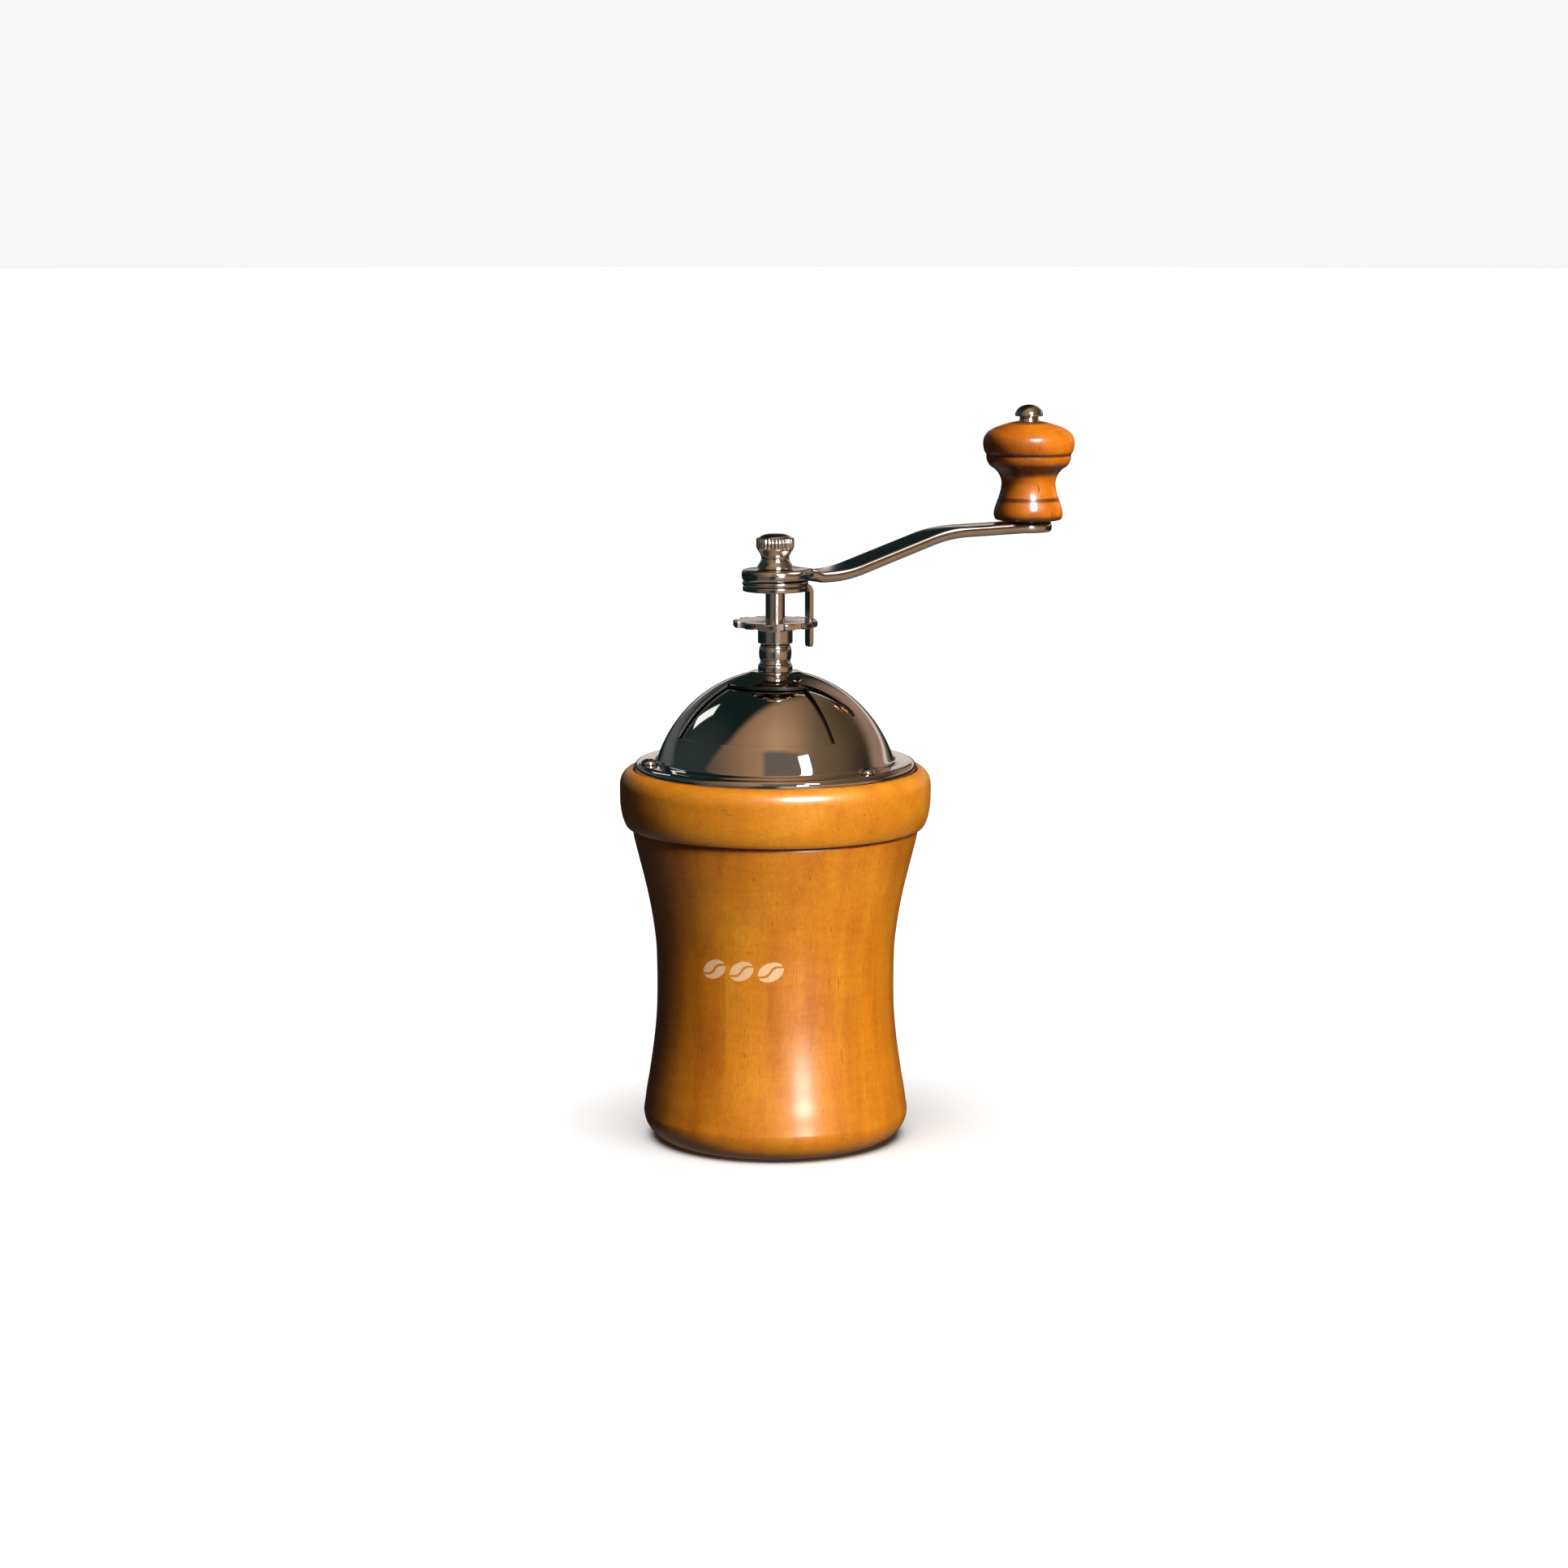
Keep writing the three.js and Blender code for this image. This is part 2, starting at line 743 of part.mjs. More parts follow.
// How far the arm has risen at a distance from the start of its bend: a bend up, a straight rise
// and a bend back to level.
function armRise(x) {
  const bend = radians(ARM.bendAngle);
  const height = (radius, run) => radius - Math.sqrt(radius ** 2 - run ** 2);
  const lower = ARM.lowerBend * Math.sin(bend);
  const upper = ARM.upperBend * Math.sin(bend);
  const straight = ARM.straight * Math.cos(bend);
  const along = THREE.MathUtils.clamp(x - lower, 0, straight);
  const left = THREE.MathUtils.clamp(lower + straight + upper - x, 0, upper);
  return (
    height(ARM.lowerBend, THREE.MathUtils.clamp(x, 0, lower)) +
    along * Math.tan(bend) +
    height(ARM.upperBend, upper) - height(ARM.upperBend, left)
  );
}

// Mid-thickness height of the arm at a distance from the axis.
const armHeight = (s) =>
  ARM.hubHeight -
  ARM.dip * THREE.MathUtils.smoothstep(s, ARM.dipFrom, ARM.dipTo) +
  armRise(s - ARM.riseFrom);

const armSlope = (s) => Math.atan((armHeight(s + 0.1) - armHeight(s - 0.1)) / 0.2);

// Half the arm's width at a distance from the axis: a round hub, a tapering bar and a round pad.
function armHalfWidth(s) {
  const bar = THREE.MathUtils.lerp(ARM.halfWidthAtHub, ARM.halfWidthAtEnd, s / ARM.length);
  const hub = Math.sqrt(Math.max(0, ARM.hubRadius ** 2 - s ** 2));
  const pad = Math.sqrt(Math.max(0, ARM.endRadius ** 2 - (s - ARM.length) ** 2));
  const beyondEnds = s < 0 || s > ARM.length;
  return Math.max(hub, pad, beyondEnds ? 0 : bar);
}

function crankArm() {
  const ends = (centre, radius, from, to, steps) =>
    Array.from({ length: steps + 1 }, (_, i) =>
      centre + radius * Math.cos(radians(from + ((to - from) * i) / steps)),
    );
  const stations = [
    ...ends(0, ARM.hubRadius, 172, 36.87, 9),
    9.6, 11.2, 12.8, 14.4, 17,
    ...Array.from({ length: 16 }, (_, i) => 21 + 4.2 * i),
    ...ends(ARM.length, ARM.endRadius, 139, 8, 8),
  ];
  const half = ARM.thickness / 2;
  const positions = [];
  for (const s of stations) {
    const z = armHeight(s);
    const slope = armSlope(s);
    const w = armHalfWidth(s);
    for (const [side, up] of [[-1, -1], [1, -1], [1, 1], [-1, 1]]) {
      positions.push(s - up * half * Math.sin(slope), side * w, z + up * half * Math.cos(slope));
    }
  }
  const index = [];
  for (let i = 0; i < stations.length - 1; i++) {
    for (let k = 0; k < 4; k++) {
      const [a, b] = [4 * i + k, 4 * i + ((k + 1) % 4)];
      index.push(a, b, a + 4, b, b + 4, a + 4);
    }
  }
  const last = 4 * (stations.length - 1);
  index.push(0, 2, 1, 0, 3, 2, last, last + 1, last + 2, last, last + 2, last + 3);
  const bar = new THREE.BufferGeometry();
  bar.setAttribute("position", new THREE.Float32BufferAttribute(positions, 3));
  bar.setIndex(index);
  const end = armHeight(ARM.length);
  return cut(
    bar,
    keyedHole(ARM.hubHeight - 3, ARM.hubHeight + 3),
    disc(SPINDLE.tenonRadius + GAP, end - 3, end + 3, 16).translate(ARM.length, 0, 0),
  );
}

// The knurled band of the cap nut: a prism with a saw-toothed outline.
function knurledBand(inner, outer, teeth, bottom, top) {
  const shape = new THREE.Shape(
    Array.from({ length: 2 * teeth }, (_, i) => {
      const angle = (Math.PI * i) / teeth;
      const r = i % 2 ? inner : outer;
      return new THREE.Vector2(r * Math.cos(angle), r * Math.sin(angle));
    }),
  );
  return prism(shape, bottom, top);
}

function capNut() {
  const { bottom, top, knurls } = CAP_NUT;
  const body = turned([
    [0, bottom],
    [5.0, bottom],
    [5.2, bottom + 0.5],
    [4.6, bottom + 1.9],
    [4.1, bottom + 2.9],
    [4.3, bottom + 4],
    [5.2, bottom + 5.6],
    [5.2, bottom + 9.3],
    ...arc(0, bottom + 9.2, 4.6, top - bottom - 9.2, 15, 90, 4).slice(0, -1),
    [0, top],
  ]);
  const band = knurledBand(5.3, 5.7, knurls, bottom + 5.8, bottom + 9);
  return cut(join(body, band), disc(CAP_NUT.bore, bottom - 1, CAP_NUT.boreTop, 16));
}

// ---------------------------------------------------------------------------------------------
// Knob, modelled on its own axis

function woodenKnob() {
  const b = KNOB.bottom;
  const recess = armTop() + 2 * GAP + KNOB_WASHER.thickness;
  return turned(
    [
      [KNOB.bore, recess],
      [KNOB.recessRadius, recess],
      [KNOB.recessRadius, b],
      [9.6, b],
      [10.4, b + 0.5],
      [10.7, b + 2],
      [10.4, b + 3.7],
      [9.6, b + 6.2],
      [9.1, b + 7.9],
      [8.6, b + 9.7],
      [8.4, b + 11.6],
      [8.8, b + 13.3],
      [9.7, b + 14.8],
      [11.1, b + 16.3],
      [12.5, b + 17.9],
      [13.4, b + 20],
      [14, b + 22],
      [14.2, b + 23.7],
      [14, b + 25.4],
      [13.3, b + 26.8],
      [12.3, b + 27.8],
      [10.7, b + 28.8],
      [7.6, b + 29.8],
      [3.6, KNOB.top],
      [KNOB.bore, KNOB.top],
    ],
    FINE,
  );
}

const armTop = () => armHeight(ARM.length) + ARM.thickness / 2;

// The washer lies on the arm round the spindle's sleeve, in a recess of the knob.
function knobWasher() {
  const bottom = armTop() + GAP;
  return ring(KNOB_WASHER.inner, KNOB_WASHER.outer, bottom, bottom + KNOB_WASHER.thickness);
}

function knobSpindle() {
  const s = SPINDLE;
  const shoulder = armTop() + GAP;
  const bottom = armTop() - ARM.thickness;
  return turned(
    [
      [0, bottom],
      [s.tenonRadius, bottom],
      [s.tenonRadius, shoulder],
      [s.sleeveRadius, shoulder],
      [s.sleeveRadius, s.headBottom],
      [s.headRadius - 0.2, s.headBottom],
      ...arc(0, s.headBottom + 0.5, s.headRadius, s.headTop - s.headBottom - 0.5, 0, 90, 5).slice(0, -1),
      [0, s.headTop],
    ],
    FINE,
  );
}

// ---------------------------------------------------------------------------------------------
// Assembly

const grinder = new THREE.Group();

function place(group, name, geometry, material) {
  const mesh = new THREE.Mesh(geometry, MATERIALS[material]);
  mesh.name = name;
  group.add(mesh);
}

place(grinder, "wooden_jar", woodenJar(), "wood");
place(grinder, "wooden_collar", woodenCollar(), "wood");
place(grinder, "dome_shell", domeShell(), "mirror");
place(grinder, "sliding_door", slidingDoor(), "mirror");
place(grinder, "hopper_funnel", hopperFunnel(), "plate");
Object.entries(SCREW.angles).forEach(([side, angle]) =>
  place(grinder, `flange_screw_${side}`, flangeScrew(polar(SCREW.circle, angle - 90)), "nickel"),
);
place(grinder, "burr_holder", burrHolder(), "plate");
rivetPlaces().forEach((where, i) =>
  place(grinder, `holder_rivet_${i + 1}`, holderRivet(where), "plate"),
);
place(grinder, "lower_bush", lowerBush(), "nylon");
place(grinder, "top_bearing", topBearing(), "nickel");
place(grinder, "bearing_nut", bearingNut(), "plate");
place(grinder, "outer_burr", outerBurr(), "iron");
place(grinder, "burr_spring", burrSpring(), "plate");

// What turns with the crank, modelled with the arm towards +X.
const drive = new THREE.Group();
drive.rotation.z = radians(CRANK_ANGLE);
grinder.add(drive);
place(drive, "inner_burr", innerBurr(), "iron");
place(drive, "spring_washer", springWasher(), "plate");
place(drive, "burr_washer", burrWasher(), "plate");
place(drive, "burr_nut", burrNut(), "plate");
place(drive, "main_shaft", mainShaft(), "nickel");
place(drive, "adjusting_nut", adjustingNut(), "nickel");
place(drive, "stopper", stopper(), "nickel");
place(
  drive, "hub_washer",
  ring(SHAFT.radius + RUNNING, HUB_WASHER.radius, HUB_WASHER.bottom, HUB_WASHER.top, 32), "nickel",
);
place(drive, "crank_arm", crankArm(), "nickel");
place(drive, "cap_nut", capNut(), "nickel");

const handle = new THREE.Group();
handle.position.x = ARM.length;
drive.add(handle);
place(handle, "knob_spindle", knobSpindle(), "nickel");
place(handle, "knob_washer", knobWasher(), "nylon");
place(handle, "wooden_knob", woodenKnob(), "wood");

export default grinder;
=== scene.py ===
import json
import math

import bmesh
import bpy
from mathutils import Matrix, Vector

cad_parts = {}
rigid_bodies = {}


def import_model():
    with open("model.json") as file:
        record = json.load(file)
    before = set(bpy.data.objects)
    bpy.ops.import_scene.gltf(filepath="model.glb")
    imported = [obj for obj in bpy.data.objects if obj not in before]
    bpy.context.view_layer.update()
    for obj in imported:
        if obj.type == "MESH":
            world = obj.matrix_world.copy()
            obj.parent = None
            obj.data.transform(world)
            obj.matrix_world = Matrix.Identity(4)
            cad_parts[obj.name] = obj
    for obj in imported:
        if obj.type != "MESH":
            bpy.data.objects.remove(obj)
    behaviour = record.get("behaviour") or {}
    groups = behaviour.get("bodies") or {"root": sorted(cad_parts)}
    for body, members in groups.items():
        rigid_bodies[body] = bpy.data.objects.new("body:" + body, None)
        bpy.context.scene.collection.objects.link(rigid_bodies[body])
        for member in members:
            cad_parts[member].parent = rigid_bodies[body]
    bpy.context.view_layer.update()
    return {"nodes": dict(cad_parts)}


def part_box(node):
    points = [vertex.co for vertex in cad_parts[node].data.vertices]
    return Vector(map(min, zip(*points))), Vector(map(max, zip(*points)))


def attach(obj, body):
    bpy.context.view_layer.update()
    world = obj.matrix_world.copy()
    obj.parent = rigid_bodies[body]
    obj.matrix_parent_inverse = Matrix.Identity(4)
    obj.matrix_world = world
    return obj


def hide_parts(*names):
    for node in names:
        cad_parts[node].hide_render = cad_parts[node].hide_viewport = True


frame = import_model()

MM = 0.001
PHOTO_AZIMUTH = 16.0
PHOTO_ELEVATION = 8.9


# ------------------------------------------------------------------------------------------
# Camera, light and floor

def toward(azimuth, elevation):
    """Unit vector from the grinder, azimuth in degrees to the right of the camera."""
    a = math.radians(PHOTO_AZIMUTH + azimuth)
    e = math.radians(elevation)
    return Vector((math.sin(a) * math.cos(e), -math.cos(a) * math.cos(e), math.sin(e)))


def aim(obj, target):
    obj.rotation_euler = (target - obj.location).to_track_quat("-Z", "Y").to_euler()


def add_camera():
    right = toward(90, 0)
    target = right * 0.0026 + Vector((0, 0, 0.1071))
    data = bpy.data.cameras.new("camera")
    data.sensor_width = 36
    data.lens = 88.24
    data.clip_start = 0.05
    data.clip_end = 100
    camera = bpy.data.objects.new("camera", data)
    bpy.context.scene.collection.objects.link(camera)
    camera.location = target + toward(0, PHOTO_ELEVATION) * 1.15
    aim(camera, target)
    bpy.context.scene.camera = camera


def add_softbox(name, azimuth, elevation, distance, width, height, power, colour, only=None):
    """A panel that only reflections see: the suns give the light. only is what it lights."""
    data = bpy.data.lights.new(name, "AREA")
    data.shape = "RECTANGLE"
    data.size = width
    data.size_y = height
    data.energy = power
    data.color = colour
    light = bpy.data.objects.new(name, data)
    bpy.context.scene.collection.objects.link(light)
    centre = Vector((0, 0, 0.11))
    light.location = centre + toward(azimuth, elevation) * distance
    aim(light, centre)
    light.visible_diffuse = False
    light.visible_camera = False
    if only:
        light.light_linking.receiver_collection = only


def add_sun(name, azimuth, elevation, strength, spread, colour, only=None):
    """A broad distant light without a reflection; only names the one collection it lights."""
    data = bpy.data.lights.new(name, "SUN")
    data.energy = strength
    data.angle = math.radians(spread)
    data.color = colour
    sun = bpy.data.objects.new(name, data)
    bpy.context.scene.collection.objects.link(sun)
    sun.location = toward(azimuth, elevation) * 2
    aim(sun, Vector((0, 0, 0)))
    sun.visible_glossy = False
    if only:
        sun.light_linking.receiver_collection = only


def collect(name, objects):
    """A collection that only serves to say what a light lights."""
    collection = bpy.data.collections.new(name)
    for obj in objects:
        collection.objects.link(obj)
    return collection


def add_world():
    """A painted room for the metal to mirror, behind a plain backdrop."""
    world = bpy.data.worlds.new("studio")
    bpy.context.scene.world = world
    world.use_nodes = True
    tree = Tree(world.node_tree)
    tree.clear()
    direction = tree.node("ShaderNodeTexCoord").outputs["Generated"]
    across = tree.dot(direction, toward(90, 0))  # from -1 at the camera's left to 1 at its right
    away = tree.dot(direction, -toward(0, 0))
    up = tree.dot(direction, (0, 0, 1))
    tilt = tree.math("ARCTAN2", away, up)  # 0 overhead, positive behind the grinder
    room = tree.mix(
        tree.smooth(up, 0.10, -0.02),
        overhead(tree, across, tilt),
        horizon(tree, tree.math("ARCTAN2", across, tree.math("MULTIPLY", away, -1.0))),
    )
    room = tree.mix(tree.smooth(up, -0.35, -0.55), room, (0.20, 0.18, 0.165))
    # The room is for reflections: it gives little light, and the camera sees a plain pale backdrop.
    ray = tree.node("ShaderNodeLightPath").outputs
    room = tree.mix(tree.math("MULTIPLY", ray["Is Diffuse Ray"], 0.72), room, (0.0, 0.0, 0.0))
    colour = tree.mix(ray["Is Camera Ray"], room, (0.93, 0.93, 0.93))
    background = tree.node("ShaderNodeBackground")
    tree.link(colour, background.inputs["Color"])
    out = tree.node("ShaderNodeOutputWorld")
    tree.link(background.outputs[0], out.inputs["Surface"])


def overhead(tree, across, tilt):
    """The warm ceiling, with a dark corner behind on the left and a pale sill low at the back."""
    warm = tree.ramp(
        tree.fit(across, -1, 1),
        [
            (0.00, (0.05, 0.05, 0.045)),
            (0.12, (0.17, 0.115, 0.075)),
            (0.28, (0.34, 0.205, 0.12)),
            (0.50, (0.53, 0.325, 0.19)),
            (0.64, (0.42, 0.26, 0.155)),
            (0.78, (0.20, 0.132, 0.075)),
            (0.92, (0.15, 0.100, 0.055)),
            (1.00, (0.06, 0.050, 0.040)),
        ],
    )
    fade = tree.fit(tilt, -0.45, 0.6, 1.0, 0.45)
    warm = tree.mix(1.0, warm, tree.ramp(fade, [(0.0, (0.0,) * 3), (1.0, (1.0,) * 3)]), "MULTIPLY")
    rear = tree.math("MULTIPLY", tree.smooth(tilt, 0.75, 1.2), tree.smooth(across, 0.0, 0.2))
    warm = tree.mix(rear, warm, (0.34, 0.225, 0.165))
    # The dark corner starts along a slanting edge, with a paler streak far behind.
    edge = tree.math("SUBTRACT", tilt, tree.math("ADD", 0.21, tree.math("MULTIPLY", across, 0.84)))
    dark = tree.math("MULTIPLY", tree.smooth(edge, -0.10, 0.12), tree.smooth(across, 0.36, 0.12))
    corner = tree.mix(tree.smooth(across, -0.45, -0.9), (0.008, 0.017, 0.017), (0.030, 0.042, 0.042))
    streak = tree.math("MULTIPLY", tree.smooth(tilt, 1.12, 1.30), tree.smooth(across, -0.10, -0.35))
    corner = tree.mix(streak, corner, (0.10, 0.112, 0.125))
    room = tree.mix(dark, warm, corner)
    low = tree.math("MULTIPLY", tree.smooth(tilt, 1.34, 1.43), tree.smooth(across, -0.35, -0.2))
    sill = tree.mix(tree.smooth(tilt, 1.462, 1.478), (0.74, 0.65, 0.63), (0.28, 0.24, 0.18))
    room = tree.mix(low, room, sill)
    # A grey panel in front, beside the window.
    front = tree.math("MULTIPLY", tree.smooth(tilt, -0.68, -0.76), tree.smooth(across, -0.24, -0.12))
    front = tree.math("MULTIPLY", front, tree.smooth(across, 0.62, 0.50))
    return tree.mix(front, room, (0.16, 0.135, 0.115))


def horizon(tree, heading):
    """What upright surfaces mirror, by heading from the camera, positive to the right."""
    return tree.ramp(
        tree.fit(heading, -math.pi, math.pi),
        [
            (0.000, (0.006, 0.014, 0.016)),
            (0.305, (0.006, 0.016, 0.018)),
            (0.345, (0.115, 0.095, 0.085)),
            (0.440, (0.125, 0.100, 0.090)),
            (0.462, (0.020, 0.036, 0.037)),
            (0.500, (0.030, 0.048, 0.048)),
            (0.520, (0.52, 0.42, 0.37)),
            (0.580, (0.52, 0.39, 0.33)),
            (0.605, (0.42, 0.25, 0.15)),
            (0.725, (0.38, 0.23, 0.14)),
            (0.775, (0.022, 0.018, 0.016)),
            (1.000, (0.012, 0.016, 0.016)),
        ],
    )


# ------------------------------------------------------------------------------------------
# Node trees

class Tree:
    """Short names for the shader nodes used here."""

    def __init__(self, node_tree):
        self.tree = node_tree

    def clear(self):
        self.tree.nodes.clear()

    def node(self, kind, **settings):
        made = self.tree.nodes.new(kind)
        for key, value in settings.items():
            setattr(made, key, value)
        return made

    def link(self, source, target):
        if isinstance(source, bpy.types.NodeSocket):
            self.tree.links.new(source, target)
        elif isinstance(source, (int, float)):
            target.default_value = source
        else:
            values = tuple(source)
            size = len(target.default_value)
            target.default_value = values + (1.0,) * (size - len(values))

    def math(self, operation, a, b=0.0, clamp=False):
        node = self.node("ShaderNodeMath", operation=operation, use_clamp=clamp)
        self.link(a, node.inputs[0])
        self.link(b, node.inputs[1])
        return node.outputs[0]

    def dot(self, a, b):
        node = self.node("ShaderNodeVectorMath", operation="DOT_PRODUCT")
        self.link(a, node.inputs[0])
        self.link(b, node.inputs[1])
        return node.outputs["Value"]

    def fit(self, value, low, high, new_low=0.0, new_high=1.0):
        node = self.node("ShaderNodeMapRange", clamp=True)
        for i, x in enumerate((value, low, high, new_low, new_high)):
            self.link(x, node.inputs[i])
        return node.outputs[0]

    def smooth(self, value, low, high):
        node = self.node("ShaderNodeMapRange", clamp=True, interpolation_type="SMOOTHSTEP")
        if low > high:
            low, high, ends = high, low, (1.0, 0.0)
        else:
            ends = (0.0, 1.0)
        for i, x in enumerate((value, low, high, *ends)):
            self.link(x, node.inputs[i])
        return node.outputs[0]

    def ramp(self, value, stops):
        node = self.node("ShaderNodeValToRGB")
        elements = node.color_ramp.elements
        while len(elements) < len(stops):
            elements.new(0.5)
        for element, (position, colour) in zip(elements, stops):
            element.position = position
            element.color = (*colour, 1.0)
        self.link(value, node.inputs[0])
        return node.outputs["Color"]

    def mix(self, factor, a, b, blend="MIX"):
        node = self.node("ShaderNodeMix", data_type="RGBA", blend_type=blend)
        self.link(factor, node.inputs[0])
        self.link(a, node.inputs[6])
        self.link(b, node.inputs[7])
        return node.outputs[2]

    def stretched(self, coordinates, scale, offset=(0, 0, 0), turn=(0, 0, 0)):
        node = self.node("ShaderNodeMapping")
        self.link(coordinates, node.inputs["Vector"])
        self.link(offset, node.inputs["Location"])
        self.link(turn, node.inputs["Rotation"])
        self.link(scale, node.inputs["Scale"])
        return node.outputs[0]

    def noise(self, coordinates, detail=2.0, roughness=0.5, distortion=0.0):
        node = self.node("ShaderNodeTexNoise")
        self.link(coordinates, node.inputs["Vector"])
        self.link(1.0, node.inputs["Scale"])
        self.link(detail, node.inputs["Detail"])
        self.link(roughness, node.inputs["Roughness"])
        self.link(distortion, node.inputs["Distortion"])
        return node.outputs["Fac"]


def new_material(name):
    material = bpy.data.materials.new(name)
    material.use_nodes = True
    tree = Tree(material.node_tree)
    tree.clear()
    shader = tree.node("ShaderNodeBsdfPrincipled")
    out = tree.node("ShaderNodeOutputMaterial")
    tree.link(shader.outputs[0], out.inputs["Surface"])
    return material, tree, shader


def bump(tree, shader, height, distance, strength=1.0):
    node = tree.node("ShaderNodeBump")
    tree.link(height, node.inputs["Height"])
    tree.link(strength, node.inputs["Strength"])
    tree.link(distance, node.inputs["Distance"])
    tree.link(node.outputs[0], shader.inputs["Normal"])


# ------------------------------------------------------------------------------------------
# Wood

def bean_mark(tree, coordinates, middle):
    """Mask of a row of three printed coffee beans on the front of the jar, in mm from its middle."""
    pitch = 8.6
    split = tree.node("ShaderNodeSeparateXYZ")
    tree.link(coordinates, split.inputs[0])
    x, y, z = split.outputs
    x = tree.math("DIVIDE", x, MM)
    z = tree.math("DIVIDE", tree.math("SUBTRACT", z, middle), MM)
    # The row repeats, so that each bean has its own middle.
    repeat = tree.node("ShaderNodeMath", operation="WRAP")
    tree.link(x, repeat.inputs[0])
    tree.link(pitch / 2, repeat.inputs[1])
    tree.link(-pitch / 2, repeat.inputs[2])
    u = repeat.outputs[0]
    tilt = math.radians(28)
    along = tree.math(
        "ADD", tree.math("MULTIPLY", u, math.cos(tilt)), tree.math("MULTIPLY", z, math.sin(tilt))
    )
    across = tree.math(
        "SUBTRACT", tree.math("MULTIPLY", z, math.cos(tilt)), tree.math("MULTIPLY", u, math.sin(tilt))
    )
    radius = tree.math(
        "ADD",
        tree.math("POWER", tree.math("ABSOLUTE", tree.math("DIVIDE", along, 3.9)), 2.0),
        tree.math("POWER", tree.math("ABSOLUTE", tree.math("DIVIDE", across, 2.7)), 2.0),
    )
    body = tree.smooth(radius, 1.06, 0.94)
    wave = tree.math("MULTIPLY", tree.math("SINE", tree.math("MULTIPLY", along, 0.95)), 0.55)
    crease = tree.smooth(tree.math("ABSOLUTE", tree.math("SUBTRACT", across, wave)), 0.30, 0.42)
    front = tree.math("LESS_THAN", y, 0.0)
    row = tree.math("LESS_THAN", tree.math("ABSOLUTE", x), 1.5 * pitch)
    mark = tree.math("MULTIPLY", body, crease)
    return tree.math("MULTIPLY", mark, tree.math("MULTIPLY", front, row))


def grooves(tree, coordinates, heights):
    """Mask of painted shade along turned grooves, from (height, half width) pairs in mm."""
    split = tree.node("ShaderNodeSeparateXYZ")
    tree.link(coordinates, split.inputs[0])
    mask = 0.0
    for height, half_width in heights:
        off = tree.math("SUBTRACT", split.outputs[2], height * MM)
        off = tree.math("DIVIDE", off, half_width * MM)
        mask = tree.math("MAXIMUM", mask, tree.smooth(tree.math("ABSOLUTE", off), 1.6, 0.4))
    return mask


def wood(name, tones, upright=True, seed=0.0, coat=0.7, gloss=0.25, mark=None, shade_bands=()):
    """Stained and varnished close-grained wood.

    tones are its dark, middle and light colour, coat and gloss the varnish's weight and roughness,
    mark the height of the printed mark's middle in metres, and the last argument the bands of painted
    shade.
    """
    material, tree, shader = new_material(name)
    dark, middle, light = tones
    place = tree.node("ShaderNodeTexCoord").outputs["Object"]
    start = (seed * 0.37, seed * 0.91, seed * 0.53)

    def grained(across_mm, along_mm):
        across, along = 1 / (across_mm * MM), 1 / (along_mm * MM)
        scale = (across, across, along) if upright else (along, across, across)
        return tree.stretched(place, scale, start)

    # Colour: broad bands along the grain and clouds across it.
    bands = tree.noise(grained(8, 120), detail=3, roughness=0.55, distortion=0.5)
    clouds = tree.noise(grained(30, 40), detail=2)
    tone = tree.math("ADD", tree.math("MULTIPLY", bands, 0.55), tree.math("MULTIPLY", clouds, 0.45))
    colour = tree.ramp(tree.fit(tone, 0.28, 0.72), [(0.0, dark), (0.5, middle), (1.0, light)])

    # Fine shade: fibres, mottling and a curl across the grain.
    fibres = tree.noise(grained(0.35, 9), detail=3, roughness=0.65)
    shade = tree.ramp(fibres, [(0.30, (0.78, 0.72, 0.66)), (0.68, (1.0,) * 3)])
    colour = tree.mix(0.75, colour, shade, "MULTIPLY")
    mottle = tree.noise(grained(1.1, 1.6), detail=3, roughness=0.6)
    shade = tree.ramp(mottle, [(0.32, (0.80, 0.72, 0.62)), (0.62, (1.0,) * 3)])
    colour = tree.mix(0.45, colour, shade, "MULTIPLY")
    curl = tree.noise(grained(16, 3.2), detail=1.5, distortion=1.2)
    shade = tree.ramp(curl, [(0.40, (0.80, 0.72, 0.64)), (0.60, (1.0,) * 3)])
    colour = tree.mix(0.30, colour, shade, "MULTIPLY")

    # Dark flecks: pores, in patches, and sparse longer dashes.
    patches = tree.smooth(tree.noise(grained(9, 22), detail=1), 0.40, 0.60)
    pores = tree.smooth(tree.noise(grained(0.42, 1.8), detail=1.5), 0.66, 0.75)
    dashes = tree.smooth(tree.noise(grained(0.85, 8), detail=1.5), 0.70, 0.76)
    fleck = tree.math("MULTIPLY", pores, tree.fit(patches, 0, 1, 0.2, 0.7))
    fleck = tree.math("ADD", fleck, tree.math("MULTIPLY", dashes, 0.8), clamp=True)
    colour = tree.mix(tree.math("MULTIPLY", fleck, 0.8), colour, tuple(c * 0.32 for c in dark))
    # Painted shade: the listed bands are darkened towards the dark tone.
    if shade_bands:
        mottle_and_shade = tree.math("MULTIPLY", grooves(tree, place, shade_bands), 0.82)
        colour = tree.mix(mottle_and_shade, colour, tuple(c * 0.16 for c in dark))
    if mark is not None:
        ink = tree.math("MULTIPLY", bean_mark(tree, place, mark), tree.fit(fibres, 0.2, 0.6, 0.6, 0.92))
        colour = tree.mix(ink, colour, (0.84, 0.56, 0.33))
    tree.link(colour, shader.inputs["Base Color"])
    tree.link(tree.fit(fibres, 0.2, 0.8, 0.50, 0.42), shader.inputs["Roughness"])
    shader.inputs["Specular IOR Level"].default_value = 0.2
    shader.inputs["Coat Weight"].default_value = coat
    shader.inputs["Coat Roughness"].default_value = gloss
    shader.inputs["Coat IOR"].default_value = 1.5
    height = tree.math("SUBTRACT", tree.math("MULTIPLY", fibres, 0.3), fleck)
    bump(tree, shader, height, 0.00003, 0.5)
    return material


# ------------------------------------------------------------------------------------------
# Metals and the rest

